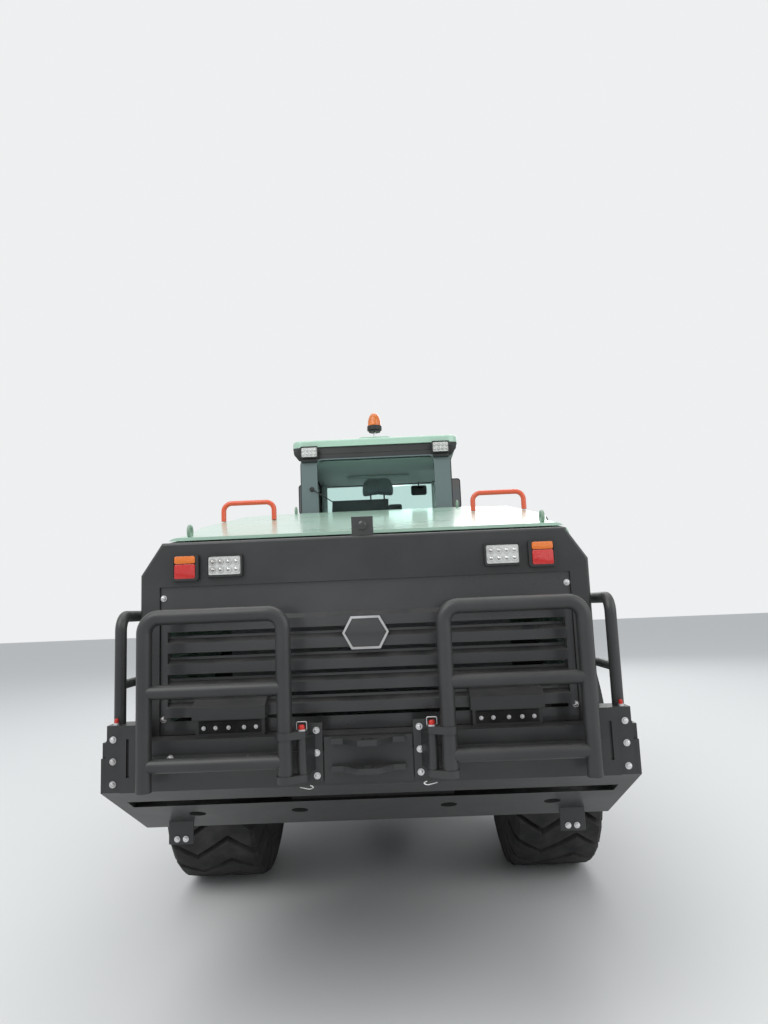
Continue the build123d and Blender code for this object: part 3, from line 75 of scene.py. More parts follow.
UP, BACK = (0, 0, 1), (0, -1, 0)

# One half of a tyre's wall, from the bore outwards: radius, distance from the middle
TYRE_WALL = (
    (0.332, 0.0), (0.332, 0.236), (0.362, 0.2385), (0.372, 0.251), (0.388, 0.262), (0.394, 0.268), (0.404, 0.269),
    (0.410, 0.267), (0.440, 0.279), (0.480, 0.287), (0.520, 0.2915), (0.542, 0.2925), (0.545, 0.2955), (0.553, 0.2955),
    (0.556, 0.2930), (0.590, 0.2930), (0.625, 0.2905), (0.655, 0.285), (0.685, 0.276), (0.712, 0.262), (0.728, 0.235),
    (0.735, 0.15), (0.738, 0.0),
)
# A lug from its middle to its end: distance across, swing along the tread, top radius, foot radius
LUG_HALF_LINE = (
    (0.0, 0.0, 0.790, 0.722), (0.107, 0.083, 0.790, 0.720), (0.180, 0.0215, 0.789, 0.715),
    (0.247, -0.035, 0.785, 0.705), (0.270, -0.056, 0.765, 0.680), (0.286, -0.056, 0.705, 0.640),
    (0.2965, -0.056, 0.645, 0.612),
)
LUG_CHAMFER = 0.007
FIRST_LUG_DEGREES = 2.87

# Fastener heads: radius, height, washer's height
WHEEL_NUT = (0.017, 0.022, 0.004)
HUB_SCREW = (0.0085, 0.007, 0.002)
EDGE_BOLT = (0.017, 0.009, 0.003)
CHARGE_BOX_BOLT = (0.006, 0.010, 0.002)
TAIL_BOLT_HEIGHTS = (0.010, 0.003)
# Rings on a wheel: count, radius, distance out from the tyre's middle, part of a step that they are turned by
NUT_RINGS = ((16, 0.262, 0.086, 0.0),)
SCREW_RINGS = ((12, 0.178, 0.181, 0.5), (8, 0.100, 0.215, 0.5))
# Bolts on each side of the tail: distances out, place along the loader, heights
TAIL_ROWS = (
    ((0.880,), COWL_Y + 0.012, (1.887, 1.372)),
    ((0.208,), TAIL_Y - 0.014, (1.329, 1.241, 1.152)),
    ((1.036,), TAIL_Y - 0.012, (1.321, 1.235, 1.146)),
    ((0.880, 0.920), FLAP_Y, (0.789,)),
)
# Steps and platform beside the cab: height, nearest and farthest stud from the middle
TREADS = ((0.562, 1.03, 1.22), (0.812, 1.03, 1.22), (1.062, 1.03, 1.22), (1.388, 0.72, 1.22))
STUD_PITCH, STUD_ROW_PITCH, STUD_ROWS, FIRST_STUD_Y = 0.038, 0.043, 13, -0.76

# The padded cushions: size of the even mesh, pressure and frames of the cloth
CUSHION_VOXEL, CUSHION_PRESSURE, CUSHION_FRAMES = 0.007, 4, 20

# The camera as solved from the photo
CAMERA_SPOT = (0.1455, -7.0267, 1.8057)
CAMERA_YAW, CAMERA_PITCH, CAMERA_ROLL = -0.0148, 0.1348, -0.0404
CAMERA_LENS = 24.99
LOOK_AT = (0, -1, 1.2)
# Area lights: name, place, size, power
LIGHTS = (
    ("key", (-6, -10, 11), 9, 760), ("fill", (9, -8, 6), 8, 320), ("rim", (3, 12, 9), 8, 420),
    ("top", (0, 0, 13), 12, 520),
)


# Sizes and colours


def colour_setting(name, description, default):
    return FloatVectorProperty(
        name=name, description=description, subtype="COLOR", size=3, default=default, min=0, max=1,
    )


def length_setting(name, description, default, low, high):
    return FloatProperty(name=name, description=description, default=default, min=low, max=high, unit="LENGTH")


class LoaderPaint(bpy.types.PropertyGroup):
    """Colours of the loader's finishes"""

    mint: colour_setting("Hood paint", "Colour of the hood and the roof", (0.42, 0.63, 0.50))
    dark: colour_setting("Dark paint", "Colour of the cowl, guards and cab", (0.0150, 0.0155, 0.0162))
    handrail: colour_setting("Handrail paint", "Colour of the handrails", (0.72, 0.09, 0.025))
    glass: colour_setting("Glass tint", "Tint of the cab's panes", (0.76, 0.90, 0.87))


class LoaderSizes(bpy.types.PropertyGroup):
    """Sizes of the loader's dressing"""

    lug_count: IntProperty(name="Lugs", description="Lugs round one tyre", default=24, min=8, max=40)
    lug_width: length_setting("Lug width", "Width of a lug along the tread", 0.166, 0.05, 0.2)
    bolt_radius: length_setting("Bolt head", "Radius of a bolt's head on the tail", 0.0095, 0.004, 0.04)
    lamp_cell: length_setting("Lamp cell", "Radius of one cell of a work lamp", 0.0145, 0.004, 0.04)


# Materials


def feed(tree, made, inputs):
    """Links or fills a node's inputs."""
    for key, value in inputs.items():
        if isinstance(value, bpy.types.NodeSocket):
            tree.links.new(value, made.inputs[key])
        else:
            made.inputs[key].default_value = value


def node(tree, kind, inputs=None, **settings):
    """Adds a shader or geometry node, sets its settings and feeds its inputs."""
    made = tree.nodes.new(kind)
    for key, value in settings.items():
        setattr(made, key, value)
    feed(tree, made, inputs or {})
    return made


def grey(value):
    return (value, value, value, 1)


def opaque(colour):
    return (*colour[:3], 1)


def start_material(name, colour, roughness, metallic=0.0, coat=0.0):
    """A material with one principled shader; returns its tree, shader and coordinates."""
    material = bpy.data.materials.new(name)
    material.use_nodes = True
    material.diffuse_color = opaque(colour)
    tree = material.node_tree
    surface = tree.nodes["Principled BSDF"]
    feed(tree, surface, {
        "Base Color": opaque(colour), "Roughness": roughness, "Metallic": metallic, "Coat Weight": coat,
    })
    place = node(tree, "ShaderNodeTexCoord").outputs["Object"]
    return material, tree, surface, place


def noise(tree, place, scale, detail=4.0, rough=0.5):
    return node(
        tree, "ShaderNodeTexNoise", {"Vector": place, "Scale": scale, "Detail": detail, "Roughness": rough},
    ).outputs["Fac"]


def ramp(tree, factor, low, high, start=0.0, end=1.0):
    """Maps a factor from start..end to low..high."""
    return node(
        tree, "ShaderNodeMapRange",
        {"Value": factor, "From Min": start, "From Max": end, "To Min": low, "To Max": high},
    ).outputs["Result"]


def blend_colour(tree, factor, first, second):
    return node(tree, "ShaderNodeMix", {0: factor, 6: first, 7: second}, data_type="RGBA").outputs[2]


def bump(tree, surface, height, strength, distance):
    made = node(tree, "ShaderNodeBump", {"Height": height, "Strength": strength, "Distance": distance})
    tree.links.new(made.outputs["Normal"], surface.inputs["Normal"])


def upward(tree, low=0.35, high=0.95):
    """How far a surface faces up, from 0 to 1."""
    normal = node(tree, "ShaderNodeNewGeometry").outputs["Normal"]
    z = node(tree, "ShaderNodeSeparateXYZ", {"Vector": normal}).outputs["Z"]
    return ramp(tree, z, 0, 1, low, high)


def sized(tree, first, second, operation):
    return node(tree, "ShaderNodeMath", {0: first, 1: second}, operation=operation).outputs[0]


def times(tree, first, second):
    return sized(tree, first, second, "MULTIPLY")


def painted(name, colour, roughness, coat=0.0, grain=0.06, dust=0.10, peel=140.0):
    """Sprayed paint: orange peel, cloudy gloss, and a film of dust on what faces up."""
    material, tree, surface, place = start_material(name, colour, roughness, coat=coat)
    cloud = noise(tree, place, 2.2, 6, 0.6)
    fine = noise(tree, place, peel, 3)
    tint = blend_colour(tree, ramp(tree, cloud, 0, 0.10, 0.3, 0.7), opaque(colour), grey(0.18))
    settled = times(tree, upward(tree), ramp(tree, noise(tree, place, 9, 8, 0.65), 0, dust, 0.35, 0.75))
    shade = blend_colour(tree, settled, tint, (0.34, 0.31, 0.27, 1))
    gloss = ramp(tree, cloud, roughness - 0.07, roughness + 0.10, 0.3, 0.7)
    feed(tree, surface, {"Base Color": shade, "Roughness": gloss, "Coat Roughness": 0.12})
    bump(tree, surface, fine, grain, 0.002)
    return material


def worn_steel(name, colour, roughness, scale=60.0):
    """Bare steel with fine turned or scraped marks."""
    material, tree, surface, place = start_material(name, colour, roughness, metallic=1.0)
    stretched = node(tree, "ShaderNodeMapping", {"Vector": place, "Scale": (1, 14, 14)}).outputs["Vector"]
    marks = noise(tree, stretched, scale, 5, 0.7)
    stain = ramp(tree, noise(tree, place, 5, 6), 0, 0.5, 0.45, 0.75)
    feed(tree, surface, {
        "Roughness": ramp(tree, marks, roughness - 0.08, roughness + 0.14, 0.3, 0.7),
        "Base Color": blend_colour(tree, stain, opaque(colour), (0.16, 0.13, 0.11, 1)),
    })
    bump(tree, surface, marks, 0.08, 0.001)
    return material


def polished_rod(name):
    """Hard chrome on a cylinder rod, with a faint oil film."""
    material, tree, surface, place = start_material(name, (0.72, 0.73, 0.75), 0.08, metallic=1.0)
    film = noise(tree, place, 7, 4)
    feed(tree, surface, {"Roughness": ramp(tree, film, 0.05, 0.2, 0.35, 0.7)})
    bump(tree, surface, noise(tree, place, 320, 2), 0.02, 0.0005)
    return material


def rubber(name, colour=(0.022, 0.022, 0.023)):
    """Tyre rubber: dull, finely rough, with grey dust in patches."""
    material, tree, surface, place = start_material(name, colour, 0.78)
    patches = noise(tree, place, 6, 8, 0.68)
    dusty = blend_colour(
        tree, ramp(tree, patches, 0, 0.55, 0.42, 0.75), opaque(colour), (0.085, 0.080, 0.074, 1),
    )
    feed(tree, surface, {"Specular IOR Level": 0.3, "Base Color": dusty})
    bump(tree, surface, noise(tree, place, 260, 6, 0.7), 0.22, 0.002)
    return material


def moulded(name, colour, roughness=0.55, grain=420.0, depth=0.12):
    """Moulded plastic with a fine pebble grain."""
    material, tree, surface, place = start_material(name, colour, roughness)
    cells = node(tree, "ShaderNodeTexVoronoi", {"Vector": place, "Scale": grain}).outputs["Distance"]
    gloss = ramp(tree, noise(tree, place, 12, 5), roughness - 0.08, roughness + 0.08, 0.3, 0.7)
    feed(tree, surface, {"Roughness": gloss})
    bump(tree, surface, cells, depth, 0.0012)
    return material


def pane(name, tint):
    """Green tinted glass with a little dust haze in patches."""
    material, tree, surface, place = start_material(name, tint, 0.02)
    haze = ramp(tree, noise(tree, place, 3, 7, 0.6), 0.01, 0.07, 0.35, 0.8)
    feed(tree, surface, {"Transmission Weight": 1.0, "IOR": 1.1, "Specular IOR Level": 0.7, "Roughness": haze})
    return material


def lens(name, colour, transmission, ribs=0.0, glow=0.0):
    """Clear moulded lamp plastic, ribbed where the real lens is."""
    material, tree, surface, place = start_material(name, colour, 0.12, coat=0.6)
    feed(tree, surface, {
        "Transmission Weight": transmission, "IOR": 1.45, "Emission Color": opaque(colour), "Emission Strength": glow,
    })
    if ribs:
        wave = node(
            tree, "ShaderNodeTexWave", {"Vector": place, "Scale": ribs}, wave_type="BANDS", bands_direction="X",
        ).outputs["Fac"]
        bump(tree, surface, wave, 0.5, 0.002)
    else:
        bump(tree, surface, noise(tree, place, 240, 2), 0.06, 0.001)
    return material


def woven(name, colour):
    """Hard-wearing seat cloth: crossed threads with a little sheen."""
    material, tree, surface, place = start_material(name, colour, 0.85)
    weave = times(tree, *(
        node(
            tree, "ShaderNodeTexWave", {"Vector": place, "Scale": 190.0, "Distortion": 0.6}, wave_type="BANDS",
            bands_direction=direction,
        ).outputs["Fac"] for direction in ("X", "Z")
    ))
    shade = blend_colour(tree, ramp(tree, weave, 0.1, 0.8), opaque(colour), grey(colour[0] * 2.6 + 0.01))
    feed(tree, surface, {"Sheen Weight": 0.35, "Base Color": shade})
    bump(tree, surface, weave, 0.5, 0.0015)
    return material


# Mesh tools


def box(bm, low, high, bevel=0.0, segments=2):
    """A box between two corners, its edges rounded."""
    low, high = Vector(low), Vector(high)
    spot = Matrix.Translation((low + high) / 2) @ Matrix.Diagonal((*(high - low), 1))
    made = bmesh.ops.create_cube(bm, size=1, matrix=spot)["verts"]
    if bevel:
        edges = list({edge for vert in made for edge in vert.link_edges})
        bmesh.ops.bevel(bm, geom=edges, offset=bevel, segments=segments, profile=0.5, affect="EDGES")


def side_box(bm, side, x, y, z, bevel=0.0, segments=2):
    """A box given by spans, with its X span taken on one side of the machine."""
    low_x, high_x = sorted((side * x[0], side * x[1]))
    box(bm, (low_x, y[0], z[0]), (high_x, y[1], z[1]), bevel, segments)


def bridge(bm, first, second):
    """Joins two rings that have as many points."""
    for step in range(len(first)):
        after = (step + 1) % len(first)
        bm.faces.new((first[step], first[after], second[after], second[step]))


def turned(bm, profile, start, direction, segments=48, loop=False):
    """A lathe shape from (radius, distance) points along a direction; a loop is a ring with a hole."""
    direction = Vector(direction).normalized()
    turn = direction.to_track_quat("Z", "Y").to_matrix().to_4x4()
    spot = Matrix.Translation(start) @ turn
    rings = []
    for radius, distance in profile:
        if radius < 1e-6:
            rings.append([bm.verts.new(spot @ Vector((0, 0, distance)))])
            continue
        ring = []
        for step in range(segments):
            angle = math.tau * step / segments
            ring.append(bm.verts.new(spot @ Vector((radius * math.cos(angle), radius * math.sin(angle), distance))))
        rings.append(ring)
    for first, second in zip(rings, rings[1:] + (rings[:1] if loop else [])):
        if len(first) == len(second):
            if len(first) > 1:
                bridge(bm, first, second)
            continue
        for step in range(segments):
            after = (step + 1) % segments
            if len(first) == 1:
                bm.faces.new((first[0], second[after], second[step]))
            else:
                bm.faces.new((first[step], first[after], second[0]))
    for ring, flip in ((rings[0], True), (rings[-1], False)):
        if len(ring) > 1 and not loop:
            bm.faces.new(ring[::-1] if flip else ring)


def rod(bm, start, end, radius, segments=20, chamfer=0.0):
    """A round bar between two points, its ends chamfered."""
    length = (Vector(end) - Vector(start)).length
    cut = min(chamfer, radius * 0.4, length * 0.3)
    profile = [(radius, 0), (radius, length)]
    if cut:
        profile = [(radius - cut, 0), (radius, cut), (radius, length - cut), (radius - cut, length)]
    turned(bm, profile, start, Vector(end) - Vector(start), segments)


def rounded_path(points, bend, steps=6):
    """A path of straight runs with arcs at its corners."""
    points = [Vector(point) for point in points]
    path = [points[0]]
    for before, corner, after in zip(points, points[1:], points[2:]):
        into, out = (before - corner).normalized(), (after - corner).normalized()
        reach = min(bend, (before - corner).length * 0.49, (after - corner).length * 0.49)
        first, last = corner + into * reach, corner + out * reach
        for step in range(steps + 1):
            t = step / steps
            path.append(first * (1 - t) ** 2 + corner * 2 * t * (1 - t) + last * t**2)
    path.append(points[-1])
    return path


def tube(bm, points, radius, bend=0.05, segments=14):
    """A round tube along a path of runs and bends, closed at both ends."""
    path = rounded_path(points, bend)
    frame_normal = None
    rings = []
    for index, point in enumerate(path):
        ahead = path[min(index + 1, len(path) - 1)] - path[max(index - 1, 0)]
        ahead.normalize()
        if frame_normal is None:
            frame_normal = ahead.orthogonal().normalized()
        frame_normal = (frame_normal - ahead * frame_normal.dot(ahead)).normalized()
        across = ahead.cross(frame_normal)
        ring = []
        for step in range(segments):
            angle = math.tau * step / segments
            ring.append(bm.verts.new(point + radius * (frame_normal * math.cos(angle) + across * math.sin(angle))))
        rings.append(ring)
    for first, second in zip(rings, rings[1:]):
        bridge(bm, first, second)
    bm.faces.new(rings[0][::-1])
    bm.faces.new(rings[-1])


def spot_on(point, level, axis):
    """A point in the plane across an axis, (y, z), (x, z) or (x, y), at a level along it."""
    if axis == "X":
        return (level, point[0], point[1])
    if axis == "Y":
        return (point[0], level, point[1])
    return (point[0], point[1], level)


def round_rect(centre, half, radius, steps=4):
    """Outline of a rounded rectangle."""
    points = []
    for turn, (side_a, side_b) in enumerate(((1, 1), (-1, 1), (-1, -1), (1, -1))):
        corner = (centre[0] + side_a * (half[0] - radius), centre[1] + side_b * (half[1] - radius))
        for step in range(steps + 1):
            angle = math.pi / 2 * (turn + step / steps)
            points.append((corner[0] + radius * math.cos(angle), corner[1] + radius * math.sin(angle)))
    return points


def band(bm, outer, inner, low, high, axis="Y"):
    """A flat frame between two outlines that have as many points."""
    rings = []
    for outline, level in ((outer, low), (outer, high), (inner, high), (inner, low)):
        rings.append([bm.verts.new(spot_on(point, level, axis)) for point in outline])
    for first, second in zip(rings, rings[1:] + rings[:1]):
        bridge(bm, first, second)


def frame_round(bm, centre, half, width, low, high, axis="Y", radius=0.02):
    """A frame with round corners along the inside of a rectangle."""
    inner = (half[0] - width, half[1] - width)
    band(
        bm, round_rect(centre, half, radius), round_rect(centre, inner, max(radius - width * 0.4, 0.002)),
        low, high, axis,
    )


def frame_rect(bm, span_a, span_b, width, low, high, axis="Y", radius=0.02):
    """The same frame for a rectangle given by its spans."""
    centre = ((span_a[0] + span_a[1]) / 2, (span_b[0] + span_b[1]) / 2)
    half = ((span_a[1] - span_a[0]) / 2, (span_b[1] - span_b[0]) / 2)
    frame_round(bm, centre, half, width, low, high, axis, radius)


def plate(bm, outline, low, high, axis="X", bevel=0.0):
    """A flat plate from an outline in the plane across an axis."""
    first = [bm.verts.new(spot_on(point, low, axis)) for point in outline]
    second = [bm.verts.new(spot_on(point, high, axis)) for point in outline]
    bm.faces.new(first[::-1])
    bm.faces.new(second)
    bridge(bm, first, second)
    if bevel:
        edges = list({edge for vert in first + second for edge in vert.link_edges})
        bmesh.ops.bevel(bm, geom=edges, offset=bevel, segments=2, profile=0.5, affect="EDGES")


def lug(bm, centre, side, width, start):
    """One zigzag lug across the tread, from wall to wall, at an angle round the axle."""
    half = LUG_HALF_LINE[:0:-1]
    line = [(-across, -swing, top, foot) for across, swing, top, foot in half] + list(LUG_HALF_LINE)
    rings = []
    for across, swing, top, foot in line:
        edge = top - LUG_CHAMFER
        section = (-1.12, foot), (-1, edge), (-0.92, top), (0.92, top), (1, edge), (1.12, foot)
        ring = []
        for shift, radius in section:
            angle = start + (swing + shift * width / 2) / TYRE_R
            ring.append(bm.verts.new((
                centre[0] + side * across, centre[1] + side * radius * math.sin(angle),
                centre[2] + radius * math.cos(angle),
            )))
        rings.append(ring)
    for first, second in zip(rings, rings[1:]):
        bridge(bm, first, second)
    bm.faces.new(rings[0])
    bm.faces.new(rings[-1])


def gland(bm, base, eye, length, bore, radius):
    """The ring at a barrel's mouth, which the rod slides through."""
    ahead = (Vector(eye) - Vector(base)).normalized()
    low, high = length - 0.035, length + 0.006
    profile = ((bore, low), (radius - 0.003, low), (radius, low + 0.003), (radius, high - 0.004),
               (radius - 0.004, high), (bore, high))
    turned(bm, profile, base, ahead, 48, loop=True)


def piece(name, bm, material, body, angle=38.0, stands_for=()):
    """Turns a built mesh into a piece that rides on a body."""
    bmesh.ops.recalc_face_normals(bm, faces=bm.faces)
    mesh = bpy.data.meshes.new(name)
    bm.to_mesh(mesh)
    bm.free()
    return settle(name, mesh, material, body, angle, stands_for)


def settle(name, mesh, material, body, angle=38.0, stands_for=()):
    """Shades a mesh, gives it its finish and its body."""
    mesh.shade_smooth()
    mesh.set_sharp_from_angle(angle=math.radians(angle))
    mesh.materials.clear()
    mesh.materials.append(material)
    made = bpy.data.objects.new(name, mesh)
    bpy.context.scene.collection.objects.link(made)
    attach(made, body)
    if stands_for:
        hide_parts(*stands_for)
    return made


def baked(made):
    """Applies an object's modifiers to its mesh."""
    graph = bpy.context.evaluated_depsgraph_get()
    result = bpy.data.meshes.new_from_object(made.evaluated_get(graph))
    made.modifiers.clear()
    made.data = result
    return result


def cushion(name, bm, material, channels, reach):
    """A padded cushion: remeshed evenly, blown up as cloth, held to a reach, then sewn and smoothed."""
    bmesh.ops.recalc_face_normals(bm, faces=bm.faces)
    mesh = bpy.data.meshes.new(name)
    bm.to_mesh(mesh)
    bm.free()
    made = bpy.data.objects.new(name, mesh)
    scene = bpy.context.scene
    scene.collection.objects.link(made)
    even = made.modifiers.new("even", "REMESH")
    even.mode = "VOXEL"
    even.voxel_size = CUSHION_VOXEL
    mesh = baked(made)
    start = [vert.co.copy() for vert in mesh.vertices]
    cloth = made.modifiers.new("swell", "CLOTH").settings
    cloth.use_pressure = True
    cloth.uniform_pressure_force = CUSHION_PRESSURE
    cloth.effector_weights.gravity = 0
    for number in range(1, CUSHION_FRAMES + 1):
        scene.frame_set(number)
    mesh = baked(made)
    scene.frame_set(1)
    for vert, home in zip(mesh.vertices, start):
        moved = vert.co - home
        if moved.length > reach:
            vert.co = home + moved.normalized() * reach
    for axis, level, half, depth in channels:
        for vert in mesh.vertices:
            away = abs(vert.co[axis] - level) / half
            if away < 1:
                vert.co -= vert.normal * depth * (1 - away * away)
    smooth = made.modifiers.new("smooth", "SUBSURF")
    smooth.levels = 1
    smooth.render_levels = 1
    mesh = baked(made)
    bpy.data.objects.remove(made)
    mesh.name = name
    finished = settle(name, mesh, material, "chassis", 80, ("seat",))


# Geometry Nodes for what repeats


def new_tree(name, sockets):
    """A geometry tree with named inputs: (name, type, default) rows."""
    tree = bpy.data.node_groups.new(name, "GeometryNodeTree")
    tree.interface.new_socket("Geometry", in_out="INPUT", socket_type="NodeSocketGeometry")
    tree.interface.new_socket("Geometry", in_out="OUTPUT", socket_type="NodeSocketGeometry")
    for label, kind, default in sockets:
        made = tree.interface.new_socket(label, in_out="INPUT", socket_type=kind)
        if default is not None:
            made.default_value = default
    start = tree.nodes.new("NodeGroupInput")
    end = tree.nodes.new("NodeGroupOutput")
    return tree, start, end


def join(tree, *parts):
    joined = tree.nodes.new("GeometryNodeJoinGeometry")
    for part in parts:
        tree.links.new(part, joined.inputs[0])
    return joined.outputs[0]


def shape(tree, kind, height, inputs):
    """A mesh primitive raised along the fastener's own axis."""
    mesh = node(tree, f"GeometryNodeMesh{kind}", inputs).outputs["Mesh"]
    offset = node(tree, "ShaderNodeCombineXYZ", {"Z": height}).outputs[0]
    return node(tree, "GeometryNodeTransform", {"Geometry": mesh, "Translation": offset}).outputs[0]


def end_tree(tree, start, end, fitting):
    """Sets a fitting on every point, turned to the point's facing, as real faces with their finish."""
    facing = node(tree, "GeometryNodeInputNamedAttribute", {"Name": "facing"}, data_type="FLOAT_VECTOR").outputs[0]
    turn = node(tree, "FunctionNodeAlignRotationToVector", {"Vector": facing}, axis="Z").outputs[0]
    placed = node(
        tree, "GeometryNodeInstanceOnPoints",
        {"Points": start.outputs["Geometry"], "Instance": fitting, "Rotation": turn},
    ).outputs[0]
    real = node(tree, "GeometryNodeRealizeInstances", {"Geometry": placed}).outputs[0]
    done = node(tree, "GeometryNodeSetMaterial", {"Geometry": real, "Material": start.outputs["Finish"]}).outputs[0]
    tree.links.new(done, end.inputs["Geometry"])


def bolt_tree():
    """A hexagon head on a round washer."""
    tree, start, end = new_tree(
        "Bolt heads",
        (
            ("Head Radius", "NodeSocketFloat", 0.014), ("Head Height", "NodeSocketFloat", 0.010),
            ("Washer Height", "NodeSocketFloat", 0.003), ("Finish", "NodeSocketMaterial", None),
        ),
    )
    radius, height, washer = (start.outputs[label] for label in ("Head Radius", "Head Height", "Washer Height"))
    head = shape(
        tree, "Cylinder", sized(tree, washer, times(tree, height, 0.5), "ADD"),
        {"Vertices": 6, "Radius": radius, "Depth": height},
    )
    crown = shape(tree, "Cone", sized(tree, washer, height, "ADD"), {
        "Vertices": 12, "Radius Top": times(tree, radius, 0.55), "Radius Bottom": times(tree, radius, 0.86),
        "Depth": times(tree, height, 0.16),
    })
    flat = shape(
        tree, "Cylinder", times(tree, washer, 0.5),
        {"Vertices": 16, "Radius": times(tree, radius, 1.45), "Depth": washer},
    )
    end_tree(tree, start, end, join(tree, head, crown, flat))
    return tree


def cell_tree():
    """A round reflector cell: a shallow ring with a dome in it."""
    tree, start, end = new_tree(
        "Lamp cells", (("Cell Radius", "NodeSocketFloat", 0.0145), ("Finish", "NodeSocketMaterial", None)),
    )
    radius = start.outputs["Cell Radius"]
    ring = shape(
        tree, "Cylinder", times(tree, radius, 0.12),
        {"Vertices": 20, "Radius": radius, "Depth": times(tree, radius, 0.24)},
    )
    dome = shape(
        tree, "UVSphere", times(tree, radius, 0.1), {"Segments": 14, "Rings": 8, "Radius": times(tree, radius, 0.62)},
    )
    end_tree(tree, start, end, join(tree, ring, dome))
    return tree


def stud_tree():
    """A low round stud."""
    tree, start, end = new_tree(
        "Grip studs", (("Stud Radius", "NodeSocketFloat", 0.008), ("Finish", "NodeSocketMaterial", None)),
    )
    radius = start.outputs["Stud Radius"]
    stud = shape(tree, "Cone", 0, {
        "Vertices": 10, "Radius Bottom": radius, "Radius Top": times(tree, radius, 0.6),
        "Depth": times(tree, radius, 0.5),
    })
    end_tree(tree, start, end, stud)
    return tree


def scatter(name, tree, spots, values, material, body):
    """Runs a tree on a list of (point, facing) spots and keeps the result as a plain mesh."""
    mesh = bpy.data.meshes.new(name)
    mesh.from_pydata([tuple(spot) for spot, _ in spots], [], [])
    facing = mesh.attributes.new("facing", "FLOAT_VECTOR", "POINT")
    facing.data.foreach_set("vector", [value for _, direction in spots for value in Vector(direction).normalized()])
    carrier = bpy.data.objects.new(name, mesh)
    bpy.context.scene.collection.objects.link(carrier)
    modifier = carrier.modifiers.new("repeat", "NODES")
    modifier.node_group = tree
    wanted = {**values, "Finish": material}
    for item in tree.interface.items_tree:
        if item.item_type == "SOCKET" and item.in_out == "INPUT" and item.name in wanted:
            modifier[item.identifier] = wanted[item.name]
    result = baked(carrier)
    bpy.data.objects.remove(carrier)
    result.name = name
    return settle(name, result, material, body, 40)


def set_bolts(name, tree, spots, head, material, body):
    """Sets bolts with one size of head on a list of spots."""
    values = dict(zip(("Head Radius", "Head Height", "Washer Height"), head))
    scatter(name, tree, spots, values, material, body)


# Where bolts, lamps and fittings stand


def tail_bolts():
    """Bright bolts on the grille corners, the guard brackets and the ballast, facing back."""
    spots = [((-0.806, TAIL_Y, 1.239), BACK), ((-0.491, TAIL_Y, 1.225), BACK)]
    for side in (-1, 1):
        for across, y, heights in TAIL_ROWS:
            spots.extend(((side * x, y, z), BACK) for x in across for z in heights)
    return spots


def wheel_spots(rings, side, axle_y):
    """Rings of fasteners on a wheel, facing out."""
    spots = []
    for count, radius, out, shift in rings:
        for turn in range(count):
            angle = math.tau * (turn + shift) / count
            spots.append((
                (side * (TRACK_HALF + out), axle_y + radius * math.cos(angle), AXLE_Z + radius * math.sin(angle)),
                (side, 0, 0),
            ))
    return spots


def grip_studs():
    """Studs on the steps and platforms beside the cab."""
    spots = []
    for side in (-1, 1):
        for z, low, high in TREADS:
            for column in range(int((high - low) / STUD_PITCH) + 1):
                for row in range(STUD_ROWS):
                    spots.append(((side * (low + column * STUD_PITCH), FIRST_STUD_Y + row * STUD_ROW_PITCH, z), UP))
    return spots


def edge_bolts():
    """Bolts through the cutting edge."""
    return [((-1.375 + number * 0.25, 4.10, 0.035), UP) for number in range(12)]


def cell_spots(x, y, z, columns, rows, pitch, facing):
    """A grid of lamp cells round a middle point."""
    spots = []
    for column in range(columns):
        for row in range(rows):
            across = (column - (columns - 1) / 2) * pitch
            up = (row - (rows - 1) / 2) * pitch
            spots.append(((x + across, y, z + up), (0, facing, 0)))
    return spots


class Finishes:
    """Every finish of the loader, made once."""


